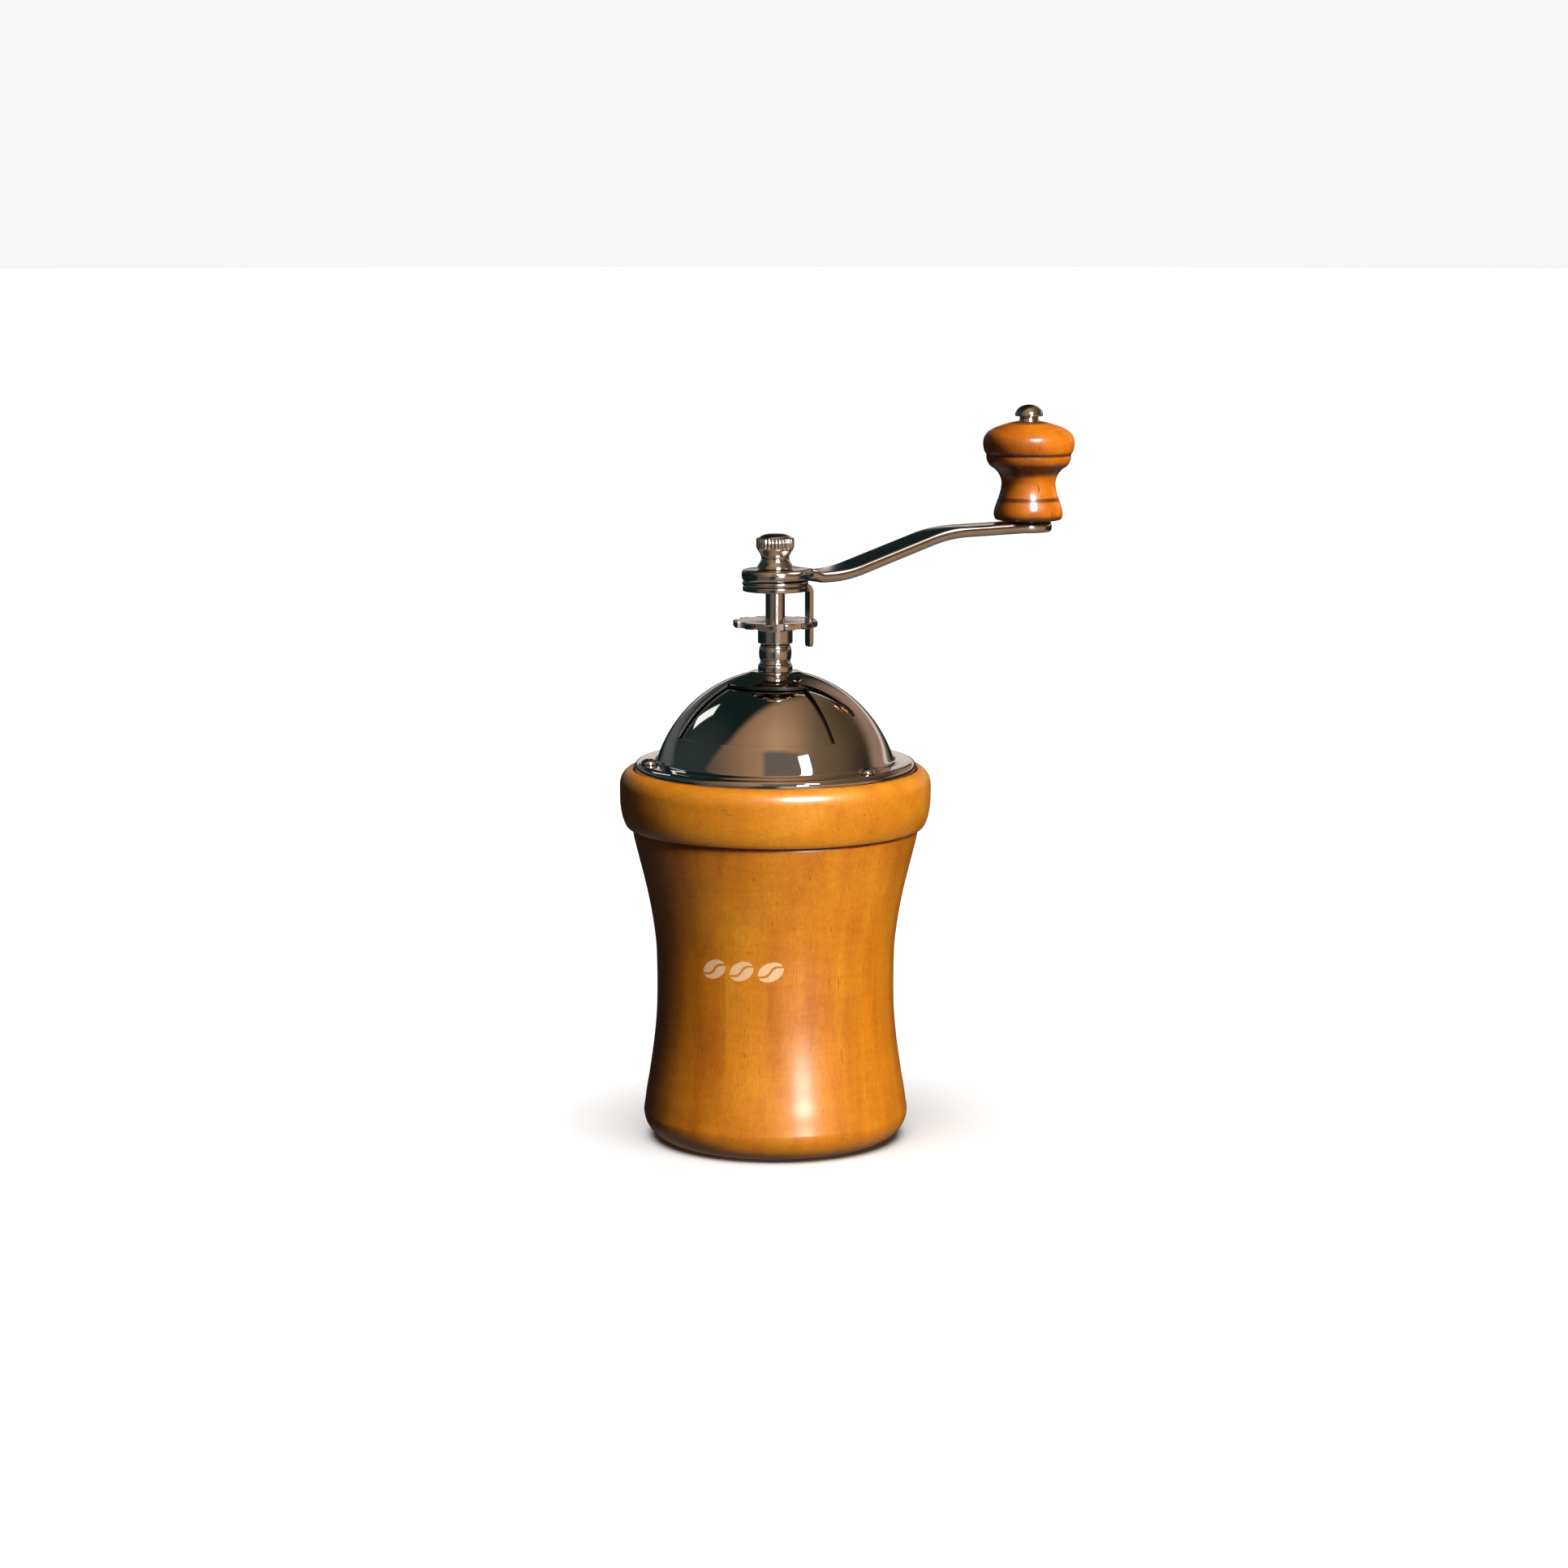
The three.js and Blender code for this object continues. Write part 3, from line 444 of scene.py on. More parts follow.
def metal(name, colour, roughness, variation=0.03, smudge_mm=14, brushed=None, underside_shade=None):
    """Polished or plated metal with faint handling marks.

    brushed is the pitch of its lathe marks, and the last argument the painted shade on its downward
    faces, as a share of its colour.
    """
    material, tree, shader = new_material(name)
    shader.inputs["Metallic"].default_value = 1.0
    place = tree.node("ShaderNodeTexCoord").outputs["Object"]
    scale = 1 / (smudge_mm * MM)
    smudge = tree.noise(tree.stretched(place, (scale, scale, scale)), detail=4, roughness=0.6)
    level = tree.fit(smudge, 0.35, 0.7, max(roughness - variation, 0.015), roughness + variation)
    tree.link(level, shader.inputs["Roughness"])
    dull = tuple(c * 0.90 for c in colour)
    finish = tree.mix(tree.fit(smudge, 0.4, 0.7), colour, dull)
    # Painted shade: faces that look down are painted darker.
    if underside_shade:
        facing = tree.dot(tree.node("ShaderNodeTexCoord").outputs["Normal"], (0, 0, -1))
        finish = tree.mix(tree.smooth(facing, 0.6, 0.85), finish, tuple(c * underside_shade for c in colour))
    tree.link(finish, shader.inputs["Base Color"])
    if brushed:
        marks = tree.noise(tree.stretched(place, (60, 60, 1 / (brushed * MM))), detail=2, roughness=0.7)
        bump(tree, shader, marks, 0.00001, 0.5)
    return material


def cast_iron(name):
    material, tree, shader = new_material(name)
    place = tree.node("ShaderNodeTexCoord").outputs["Object"]
    grain = tree.noise(tree.stretched(place, (1800, 1800, 1800)), detail=4, roughness=0.65)
    mottle_and_shade = tree.noise(tree.stretched(place, (160, 160, 160)), detail=3)
    tones = [(0.0, (0.10, 0.095, 0.09)), (1.0, (0.23, 0.22, 0.21))]
    tree.link(tree.ramp(tree.fit(mottle_and_shade, 0.3, 0.7), tones), shader.inputs["Base Color"])
    shader.inputs["Metallic"].default_value = 0.85
    tree.link(tree.fit(grain, 0.2, 0.8, 0.38, 0.62), shader.inputs["Roughness"])
    bump(tree, shader, grain, 0.00005, 0.7)
    return material


def moulded(name, colour):
    material, tree, shader = new_material(name)
    place = tree.node("ShaderNodeTexCoord").outputs["Object"]
    grain = tree.noise(tree.stretched(place, (2500, 2500, 2500)), detail=2)
    lighter = tuple(min(1.0, c * 1.35) for c in colour)
    tree.link(tree.mix(grain, colour, lighter), shader.inputs["Base Color"])
    tree.link(tree.fit(grain, 0.2, 0.8, 0.45, 0.6), shader.inputs["Roughness"])
    bump(tree, shader, grain, 0.00002, 0.6)
    return material


# ------------------------------------------------------------------------------------------
# Shapes. Profiles are [radius, height] in millimetres, heights from the foot of the CAD node.

def arc(centre_r, centre_z, a, b, start, end, steps):
    points = []
    for i in range(steps + 1):
        t = math.radians(start + (end - start) * i / steps)
        points.append((centre_r + a * math.cos(t), centre_z + b * math.sin(t)))
    return points


def spline(points, steps=6):
    """A smooth line through points."""
    padded = [points[0], *points, points[-1]]
    line = []
    for p0, p1, p2, p3 in zip(padded, padded[1:], padded[2:], padded[3:]):
        for i in range(steps):
            t = i / steps
            line.append(tuple(
                0.5 * (2 * b + (c - a) * t + (2 * a - 5 * b + 4 * c - d) * t * t
                       + (3 * b - a - 3 * c + d) * t ** 3)
                for a, b, c, d in zip(p0, p1, p2, p3)
            ))
    line.append(points[-1])
    return line


def rounded(corners, closed=True, steps=4):
    """A polyline with its corners rounded. Each corner is (radius, height, rounding)."""
    points = []
    count = len(corners)
    for i, (x, z, r) in enumerate(corners):
        ends = not closed and i in (0, count - 1)
        if r <= 0 or ends:
            points.append((x, z))
            continue
        here = Vector((x, z))
        before = Vector(corners[i - 1][:2]) - here
        after = Vector(corners[(i + 1) % count][:2]) - here
        half = before.angle(after) / 2
        reach = min(r / math.tan(half), 0.48 * before.length, 0.48 * after.length)
        a = here + before.normalized() * reach
        b = here + after.normalized() * reach
        for k in range(steps + 1):
            t = k / steps
            points.append(tuple(a * (1 - t) ** 2 + here * 2 * t * (1 - t) + b * t * t))
    return points


def soften(obj, sharp=30):
    """Smooth shading, but for edges sharper than that angle in degrees."""
    obj.data.shade_smooth()
    obj.data.set_sharp_from_angle(angle=math.radians(sharp))


def finish_mesh(bm, name, sharp=32):
    bmesh.ops.remove_doubles(bm, verts=bm.verts, dist=1e-6)
    bmesh.ops.recalc_face_normals(bm, faces=bm.faces)
    mesh = bpy.data.meshes.new(name)
    bm.to_mesh(mesh)
    bm.free()
    obj = bpy.data.objects.new(name, mesh)
    bpy.context.scene.collection.objects.link(obj)
    soften(obj, sharp)
    return obj


def turned_bmesh(profile, segments, centre, foot, closed=True, radius_at=None):
    """A turned body as a bmesh. radius_at(angle, radius, height) may vary the radius, in mm."""
    bm = bmesh.new()
    rings = []
    for r, z in profile:
        height = foot + z * MM
        if r < 1e-6:
            rings.append([bm.verts.new((centre[0], centre[1], height))] * segments)
            continue
        row = []
        for i in range(segments):
            angle = 2 * math.pi * i / segments
            reach = (radius_at(angle, r, z) if radius_at else r) * MM
            row.append(bm.verts.new((
                centre[0] + reach * math.cos(angle), centre[1] + reach * math.sin(angle), height,
            )))
        rings.append(row)
    pairs = list(zip(rings, rings[1:]))
    if closed:
        pairs.append((rings[-1], rings[0]))
    for lower, upper in pairs:
        for i in range(segments):
            j = (i + 1) % segments
            corners = [lower[i], lower[j], upper[j], upper[i]]
            unique = list(dict.fromkeys(corners))
            if len(unique) > 2:
                bm.faces.new(unique)
    return bm


def turned(node, profile, segments=96, closed=True, sharp=32, radius_at=None):
    """A turned piece standing where the CAD node stands."""
    low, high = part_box(node)
    centre = ((low[0] + high[0]) / 2, (low[1] + high[1]) / 2)
    bm = turned_bmesh(profile, segments, centre, low[2], closed, radius_at)
    return finish_mesh(bm, node + "_piece", sharp)


def bevel(obj, width_mm, segments=2, angle=35):
    modifier = obj.modifiers.new("bevel", "BEVEL")
    modifier.width = width_mm * MM
    modifier.segments = segments
    modifier.limit_method = "ANGLE"
    modifier.angle_limit = math.radians(angle)
    modifier.harden_normals = True
    return obj


def place(obj, node, body, slot, material):
    obj.data.materials.append(material)
    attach(obj, body)
    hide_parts(node)


def combine(obj, other, operation):
    """Joins other to obj (UNION) or cuts it away (DIFFERENCE), for good."""
    modifier = obj.modifiers.new("combine", "BOOLEAN")
    modifier.operation = operation
    modifier.solver = "EXACT"
    modifier.object = other
    apply_modifiers(obj)
    bpy.data.objects.remove(other)


def apply_modifiers(obj):
    graph = bpy.context.evaluated_depsgraph_get()
    mesh = bpy.data.meshes.new_from_object(obj.evaluated_get(graph))
    obj.modifiers.clear()
    obj.data = mesh


def block(size, matrix):
    bm = bmesh.new()
    bmesh.ops.create_cube(bm, size=1.0)
    bmesh.ops.transform(bm, matrix=matrix @ Matrix.Diagonal((*size, 1.0)), verts=bm.verts)
    return bm


def merged(parts):
    """One object from several bmeshes that may touch or cross."""
    bm = bmesh.new()
    for part in parts:
        mesh = bpy.data.meshes.new("part")
        part.to_mesh(mesh)
        part.free()
        bm.from_mesh(mesh)
        bpy.data.meshes.remove(mesh)
    return bm


# ------------------------------------------------------------------------------------------
# Jar and collar

def make_jar(material):
    side = spline([
        (39.8, 8.2), (39.45, 10.5), (38.9, 14.5), (38.2, 18.5), (37.6, 22.5), (37.0, 26.6), (36.5, 30.6),
        (36.1, 34.6), (35.75, 39.6), (35.6, 47), (35.7, 54.6), (36.0, 60.5), (37.1, 68.5), (38.65, 76.4),
        (40.6, 84.4), (42.2, 90.8), (42.75, 93.8),
    ], 4)
    profile = [
        (0, 0.9), (24.5, 0.9), (25.2, 0.6), (25.8, 0),
        *arc(31.6, 8.2, 8.2, 8.2, -90, 0, 12)[:-1],
        *side,
        (42.5, 94.4), (42.1, 94.6), (37.1, 94.6), (36.75, 94.45), (36.6, 94.1),
        (36.6, 83.6), (36.2, 83.0), (29.8, 80.4), (29.6, 79.9),
        (29.6, 14), *arc(25.6, 13.5, 4, 4, 0, -90, 6), (0, 9.5),
    ]
    jar = turned("wooden_jar", profile, 160, closed=False)
    place(jar, "wooden_jar", "jar", "body_wood", material)


def make_collar(material):
    radius = 46.5
    profile = [
        (35.7, 28.4), (35.9, 28.6), (40.7, 28.6), (40.9, 28.4), (40.9, 26.8),
        (42.3, 26.8), (42.3, 27.7), (42.5, 28.05),
        *arc(radius - 3.9, 23.3, 3.9, 4.9, 88, 0, 12),
        (radius, 20.5), (46.45, 18.2), (46.2, 16.0), (45.8, 14.0), (45.2, 12.3), (44.75, 11.35),
        (44.4, 10.95), (44.1, 10.9), (36.3, 10.9), (36.3, 0.6), (35.9, 0.0), (33.6, 0.0), (33.2, 0.4),
        (33.2, 12.0), (35.7, 17.0),
    ]
    collar = turned("wooden_collar", profile, 160, sharp=38)
    place(collar, "wooden_collar", "head", "collar_wood", material)


# ------------------------------------------------------------------------------------------
# Dome and door

CROWN_RADIUS = 37.4
CROWN_HEIGHT = 39.6
CROWN_CENTRE = -9.3  # height of the ellipse's middle over the dome's foot
SEAT = 29.9  # height of the flat that the neck stands on
SHEET = 0.8
OPENING = (15.4, 31.6)  # radii of the opening's upper and lower edge
OPENING_HALF_ANGLE = 50
FRONT = 270  # degrees


def crown_line(inset, start, end, steps):
    """(radius, height) down the elliptical crown in even turns, from one radius to another."""
    a, b = CROWN_RADIUS - inset, CROWN_HEIGHT - inset
    first, last = math.asin(start / a), math.asin(end / a)
    line = []
    for i in range(steps + 1):
        t = first + (last - first) * i / steps
        line.append((a * math.sin(t), CROWN_CENTRE + b * math.cos(t)))
    return line


def from_front(angle):
    """Degrees from the front, to either side."""
    return abs((angle - FRONT + 180) % 360 - 180)


def ring_at(profile, radius):
    return next(i for i, point in enumerate(profile) if abs(point[0] - radius) < 1e-6)


def shell_with_opening(name, foot, outside, inside, segments, is_open):
    """A sheet between two profiles of equal length, left open where is_open(angle, row) says.

    The cut edges of the sheet take the second material, a near-black one that paints the shade along
    them.
    """
    bm = bmesh.new()
    grids = []
    for profile in (outside, inside):
        grids.append([
            [bm.verts.new((
                r * MM * math.cos(2 * math.pi * i / segments),
                r * MM * math.sin(2 * math.pi * i / segments),
                foot + z * MM,
            )) for i in range(segments)]
            for r, z in profile
        ])
    rows = len(outside) - 1
    kept = {
        (row, i)
        for row in range(rows)
        for i in range(segments)
        if not is_open(360 * (i + 0.5) / segments, row)
    }

    def wall(row_a, i_a, row_b, i_b):
        cut_edge = bm.faces.new([
            grids[0][row_a][i_a], grids[0][row_b][i_b], grids[1][row_b][i_b], grids[1][row_a][i_a],
        ])
        # Painted shade: the cut edge takes the near-black second material.
        cut_edge.material_index = 1

    for row, i in kept:
        j = (i + 1) % segments
        for grid in grids:
            bm.faces.new([grid[row][i], grid[row][j], grid[row + 1][j], grid[row + 1][i]])
        if (row - 1, i) not in kept:
            wall(row, i, row, j)
        if (row + 1, i) not in kept:
            wall(row + 1, i, row + 1, j)
        if (row, (i - 1) % segments) not in kept:
            wall(row, i, row + 1, i)
        if (row, j) not in kept:
            wall(row, j, row + 1, j)
    return finish_mesh(bm, name, 40)


def make_dome(material, edge_shade_material):
    def profile(inset):
        seat = SEAT - inset
        flange = 3.1 - inset
        roll = 1.6
        return [
            (4.2, seat), (6.0, seat), (7.4, seat - 0.12),
            *crown_line(inset, 9, OPENING[0], 4),
            *crown_line(inset, *OPENING, 14)[1:],
            *crown_line(inset, OPENING[1], 35.0 - inset * 0.9, 7)[1:],
            *spline([
                (35.25 - inset * 0.9, flange + 0.9), (35.6 - inset * 0.6, flange + 0.25),
                (36.4 - inset * 0.4, flange),
            ], 3),
            (38, flange),
            *arc(42 - roll, flange - roll + inset, roll - inset, roll - inset, 90, 0, 8),
            (42 - inset, 0.0),
        ]

    outside, inside = profile(0), profile(SHEET)
    first, last = (ring_at(outside, radius) for radius in OPENING)

    def is_open(angle, row):
        return first <= row < last and from_front(angle) < OPENING_HALF_ANGLE

    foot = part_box("dome_shell")[0][2]
    dome = shell_with_opening("dome_piece", foot, outside, inside, 216, is_open)
    bevel(dome, 0.12, 2, 50)
    place(dome, "dome_shell", "head", "dome_chrome", material)
    dome.data.materials.append(edge_shade_material)


def make_door(material, edge_shade_material):
    """A second shell just under the dome, cut away a little wider than the dome's opening."""
    gap, thickness, top_ring = 0.35, 0.7, 12

    def profile(inset):
        seat = SEAT - inset
        return [
            (4.15, seat), (5.6, seat), (6.9, seat - 0.1),
            *crown_line(inset, 8.5, top_ring, 3), *crown_line(inset, top_ring, 33, 16)[1:],
        ]

    outside, inside = profile(SHEET + gap), profile(SHEET + gap + thickness)
    first = ring_at(outside, top_ring)

    def is_open(angle, row):
        return row >= first and from_front(angle) > OPENING_HALF_ANGLE + 3.5

    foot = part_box("dome_shell")[0][2]
    door = shell_with_opening("door_piece", foot, outside, inside, 240, is_open)
    bevel(door, 0.12, 2, 50)
    place(door, "sliding_door", "door", "dome_chrome", material)
    door.data.materials.append(edge_shade_material)


# ------------------------------------------------------------------------------------------
# Bearing, adjusting nut, stopper

def make_bearing(material):
    profile = [
        (3.0, 0), (3.9, 0), (4.05, 0.15), (4.05, 5.1), (5.1, 5.1),
        *spline([(5.17, 5.2), (5.17, 6.4), (5.12, 6.75), (4.95, 7.05), (4.72, 7.3), (4.6, 7.6)], 4),
        (4.5, 7.85), (4.5, 8.1),
        *arc(4.32, 10.45, 0.56, 2.25, -78, 78, 16),
        (4.42, 12.8), (4.42, 12.95), (4.3, 13.1), (3.0, 13.1),
    ]
    bearing = turned("top_bearing", profile, 64, sharp=30)
    place(bearing, "top_bearing", "head", "nickel", material)


NUT_RADIUS = 12.6
NUT_NOTCHES = 12


def notch_depth(angle, count, width, depth, at):
    """How far a notch cuts in at an angle, with steep sides; in mm."""
    pitch = 2 * math.pi / count
    off = abs((angle + pitch / 2) % pitch - pitch / 2) * at
    return depth * min(1.0, max(0.0, (width / 2 - off) / 0.25 + 0.5))


def make_adjusting_nut(material, turn):
    def radius_at(angle, r, z):
        if r < 9:
            return r
        notch = notch_depth(angle - turn, count=NUT_NOTCHES, width=3.1, depth=1.5, at=12.0)
        return min(r, NUT_RADIUS - notch)

    profile = rounded([
        (3.0, 0, 0.1), (5.2, 0, 0.4), (5.2, 3.9, 0.8), (6.1, 5.0, 0.5), (10.4, 5.0, 0),
        (NUT_RADIUS, 5.0, 0.35), (NUT_RADIUS, 6.8, 0.35), (10.4, 6.8, 0), (3.0, 6.8, 0.1),
    ])
    nut = turned("adjusting_nut", profile, 288, sharp=40, radius_at=radius_at)
    place(nut, "adjusting_nut", "adjuster", "nickel", material)


def bent_strip(points, half_widths, thickness, turn):
    """Sheet bent along a line of (x, z) points in the plane turned by turn, in mm."""
    bm = bmesh.new()
    rows = []
    for i, ((x, z), width) in enumerate(zip(points, half_widths)):
        before = Vector(points[max(i - 1, 0)])
        after = Vector(points[min(i + 1, len(points) - 1)])
        along = (after - before).normalized()
        normal = Vector((-along.y, along.x)) * thickness / 2
        row = []
        for side, up in ((-1, -1), (1, -1), (1, 1), (-1, 1)):
            p = Vector((x + up * normal.x, side * width, z + up * normal.y)) * MM
            row.append(bm.verts.new(Matrix.Rotation(turn, 4, "Z") @ p))
        rows.append(row)
    for a, b in zip(rows, rows[1:]):
        for k in range(4):
            m = (k + 1) % 4
            bm.faces.new([a[k], a[m], b[m], b[k]])
    bm.faces.new(rows[0])
    bm.faces.new(rows[-1])
    return bm


def make_stopper(material, turn):
    thickness = 1.5
    bottom, top = (point[2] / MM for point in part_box("stopper"))
    mid = top - thickness / 2
    section = [(3.0, 0, 0.1), (9.7, 0, 0.35), (9.7, thickness, 0.35), (3.0, thickness, 0.1)]
    disc = turned_bmesh(rounded(section), 96, (0, 0), (top - thickness) * MM)
    reach = 11.8 + thickness / 2
    bend = arc(reach - 2.0, mid - 2.0, 2.0, 2.0, 90, 0, 8)
    line = [(8.2, mid), (9.4, mid), *bend, (reach, bottom + 6), (reach, bottom + 1.4)]
    tip = [(reach, bottom + 0.45), (reach, bottom)]
    half_widths = [1.4] * len(line) + [1.2, 0.7]
    finger = bent_strip(line + tip, half_widths, thickness, turn)
    stopper = finish_mesh(merged([disc, finger]), "stopper_piece", 35)
    bevel(stopper, 0.25, 3, 50)
    place(stopper, "stopper", "lock", "nickel", material)


def make_hub_washer(material):
    section = [(3.0, 0, 0.1), (9.8, 0, 0.45), (9.8, 1.3, 0.45), (3.0, 1.3, 0.1)]
    washer = turned("hub_washer", rounded(section), 96)
    place(washer, "hub_washer", "lock", "nickel", material)


def make_shaft(material):
    low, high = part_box("main_shaft")
    height = (high[2] - low[2]) / MM
    profile = rounded([
        (0, 0, 0), (2.45, 0, 0.5), (2.45, 6.8, 0), (2.9, 6.8, 0.15), (2.9, height - 7.2, 0.15),
        (2.45, height - 7.2, 0), (2.45, height, 0.6), (0, height, 0),
    ], closed=False)
    shaft = turned("main_shaft", profile, 48, closed=False, sharp=30)
    place(shaft, "main_shaft", "drive", "nickel", material)


# ------------------------------------------------------------------------------------------
# Crank

ARM_LENGTH = 97.0
ARM_THICKNESS = 3.3
ARM_DIP = (1.3, 9.6, 14.5)  # depth, start and end of the dip past the hub
ARM_RISE_FROM = 17.0
ARM_BENDS = (46.0, 54.0)  # radii
ARM_BEND_ANGLE = math.radians(15.1)
ARM_STRAIGHT = 27.4
HUB_RADIUS = 10.0
PAD_RADIUS = 7.4


def clamp(value, low, high):
    return max(low, min(high, value))


def arm_rise(x):
    """How far the arm has risen at a distance from the start of its bend, in mm."""
    lower, upper = (radius * math.sin(ARM_BEND_ANGLE) for radius in ARM_BENDS)
    straight = ARM_STRAIGHT * math.cos(ARM_BEND_ANGLE)

    def height(radius, run):
        return radius - math.sqrt(radius * radius - run * run)

    return (
        height(ARM_BENDS[0], clamp(x, 0, lower))
        + clamp(x - lower, 0, straight) * math.tan(ARM_BEND_ANGLE)
        + height(ARM_BENDS[1], upper)
        - height(ARM_BENDS[1], clamp(lower + straight + upper - x, 0, upper))
    )


def arm_line(s, level):
    """(height, slope) of the arm's middle at a distance from the axis, in mm."""
    def height(at):
        depth, start, end = ARM_DIP
        t = clamp((at - start) / (end - start), 0, 1)
        return level - depth * t * t * (3 - 2 * t) + arm_rise(at - ARM_RISE_FROM)

    return height(s), math.atan((height(s + 0.1) - height(s - 0.1)) / 0.2)


def smooth_max(a, b, k):
    """The larger of two values, blended where they are within k of each other."""
    h = max(k - abs(a - b), 0.0) / k
    return max(a, b) + h * h * k * 0.25


def arm_half_width(s):
    """Half the arm's width at a distance from the axis, in mm: round hub, tapered bar, round pad."""
    bar = 6.0 - 0.4 * s / ARM_LENGTH
    hub = math.sqrt(max(0.0, HUB_RADIUS ** 2 - s ** 2))
    pad = math.sqrt(max(0.0, PAD_RADIUS ** 2 - (s - ARM_LENGTH) ** 2))
    if s < 0:
        return hub
    if s > ARM_LENGTH:
        return pad
    return max(smooth_max(hub, bar, 3.0) if s > 3 else hub, pad)


def make_arm(material, turn):
    hub_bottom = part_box("hub_washer")[1][2] / MM + 0.15
    level = hub_bottom + ARM_THICKNESS / 2
    stations = [-HUB_RADIUS * math.cos(math.radians(a)) for a in range(0, 90, 5)]
    stations += [float(s) for s in range(0, int(ARM_LENGTH))]
    stations += [ARM_LENGTH + PAD_RADIUS * math.sin(math.radians(a)) for a in range(0, 91, 5)]
    half = ARM_THICKNESS / 2
    corner = 1.35  # rounding of the bar's long edges
    section = []
    for sx, sz, start in ((1, -1, 270), (1, 1, 0), (-1, 1, 90), (-1, -1, 180)):
        for k in range(7):
            t = math.radians(start + 90 * k / 6)
            section.append((sx, sz, math.cos(t), math.sin(t)))
    bm = bmesh.new()
    rows = []
    spin = Matrix.Rotation(turn, 4, "Z")
    for s in stations:
        z, slope = arm_line(max(s, 0.0), level)
        width = max(arm_half_width(s), 0.02)
        r = min(corner, width * 0.98)
        row = []
        for sx, sz, c, d in section:
            across = sx * (width - r) + c * r
            up = sz * (half - corner) + d * corner
            p = Vector((s - up * math.sin(slope), across, z + up * math.cos(slope))) * MM
            row.append(bm.verts.new(spin @ p))
        rows.append(row)
    count = len(section)
    for a, b in zip(rows, rows[1:]):
        for k in range(count):
            m = (k + 1) % count
            bm.faces.new([a[k], a[m], b[m], b[k]])
    bm.faces.new(rows[0])
    bm.faces.new(rows[-1])
    arm = finish_mesh(bm, "crank_arm_piece", 40)
    place(arm, "crank_arm", "crank", "nickel", material)


def make_cap_nut(material):
    knurls, knurl_depth = 30, 0.34
    flat_top = 10.4

    def radius_at(angle, r, z):
        if 6.2 < z < 9.1 and r > 5.3:
            return r - knurl_depth * (0.5 - 0.5 * math.cos(angle * knurls)) ** 2
        return r

    waist = spline([
        (5.4, 0.5), (5.05, 1.2), (4.55, 1.9), (4.25, 2.6), (4.15, 3.2), (4.35, 4.0), (4.75, 4.8),
        (5.2, 5.5),
    ], 4)
    head = [
        (5.4, 5.9), (5.55, 6.15), (5.64, 6.35), (5.68, 6.6), (5.68, 8.7), (5.6, 8.95), (5.4, 9.15),
        (5.1, 9.25),
    ]
    crown = [(r, min(z, flat_top)) for r, z in arc(0, 9.1, 4.7, 1.4, 4, 90, 10)]
    profile = [(0, 0), (4.9, 0), (5.25, 0.12), *waist, *head, *crown]
    nut = turned("cap_nut", profile, 360, closed=False, sharp=34, radius_at=radius_at)
    place(nut, "cap_nut", "cap", "nickel", material)


# ------------------------------------------------------------------------------------------
# Knob

# Bands of painted shade on the knob, in its grooves and hollows, at its foot and round the spindle head:
# height over the floor and half width, in mm.
KNOB_SHADE_BANDS = ((201.75, 0.5), (197.2, 1.7), (187.9, 0.6), (181.6, 1.2), (211.9, 0.6))


def make_knob(material):
    recess = (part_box("knob_washer")[1][2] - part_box("wooden_knob")[0][2]) / MM + 0.1
    base = spline([
        (9.5, 0.05), (10.1, 0.25), (10.5, 0.75), (10.72, 1.7), (10.68, 2.8), (10.42, 3.9), (10.0, 5.1),
        (9.75, 5.9), (9.62, 6.35),
    ], 4)
    waist = spline([
        (9.42, 6.6), (9.25, 7.2), (8.85, 8.6), (8.55, 9.9), (8.42, 11.2), (8.5, 12.3), (8.85, 13.5),
        (9.5, 14.7), (10.3, 15.6), (10.9, 16.1),
    ], 4)
    bead = spline([
        (11.35, 16.35), (12.1, 17.0), (12.72, 17.9), (13.08, 18.9), (13.2, 19.7), (13.12, 20.2),
    ], 4)
    bulge = spline([
        (13.25, 20.55), (13.75, 21.3), (14.05, 22.3), (14.2, 23.5), (14.15, 24.6), (13.85, 25.8),
        (13.3, 26.75), (12.3, 27.7), (10.7, 28.6), (9.2, 29.2), (7.6, 29.72), (5.8, 30.2), (4.3, 30.55),
    ], 4)
    dish = spline([(3.95, 30.62), (3.6, 30.55), (3.35, 30.3), (3.2, 29.9)], 3)
    profile = [
        (3.15, recess), (5.8, recess), (5.8, 0.15), (5.95, 0), (9.3, 0),
        *base, *waist, *bead, *bulge, *dish,
    ]
    knob = turned("wooden_knob", profile, 128, sharp=36)
    place(knob, "wooden_knob", "knob", "knob_wood", material)


def make_spindle(material):
    low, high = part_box("knob_spindle")
    total = (high[2] - low[2]) / MM
    head = total - 3.7
    sleeve = (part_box("crank_arm")[1][2] - low[2]) / MM + 0.1
    profile = [
        (0, 0), (1.9, 0), (2.1, 0.2), (2.1, sleeve), (3.0, sleeve), (3.0, head - 0.5),
        *spline([(2.9, head - 0.35), (2.88, head - 0.1), (3.05, head + 0.02)], 3),
        (3.9, head + 0.05), (4.2, head + 0.12), (4.35, head + 0.3),
        *arc(0, head + 0.45, 4.35, 3.25, 2, 90, 16),
    ]
    spindle = turned("knob_spindle", profile, 64, closed=False, sharp=34)
    place(spindle, "knob_spindle", "crank", "nickel", material)


# ------------------------------------------------------------------------------------------
# Hopper, burrs and their fastenings

SHEET_STEEL = 0.6


def make_hopper(material):
    rim = 22.7  # height of the rim's underside over the foot
    profile = rounded([
        (18.6, 0, 0.2), (25.4, 0, 1.2), (35.2, 14.7, 1.6), (35.2, rim, 0.6), (40.6, rim, 0.1),
        (40.6, rim + SHEET_STEEL, 0.2), (34.6, rim + SHEET_STEEL, 0.9), (34.6, 15, 1.4),
        (25.1, SHEET_STEEL, 1.0), (18.6, SHEET_STEEL, 0.1),
    ])
    funnel = turned("hopper_funnel", profile, 160, sharp=30)
    place(funnel, "hopper_funnel", "head", "plated_steel", material)


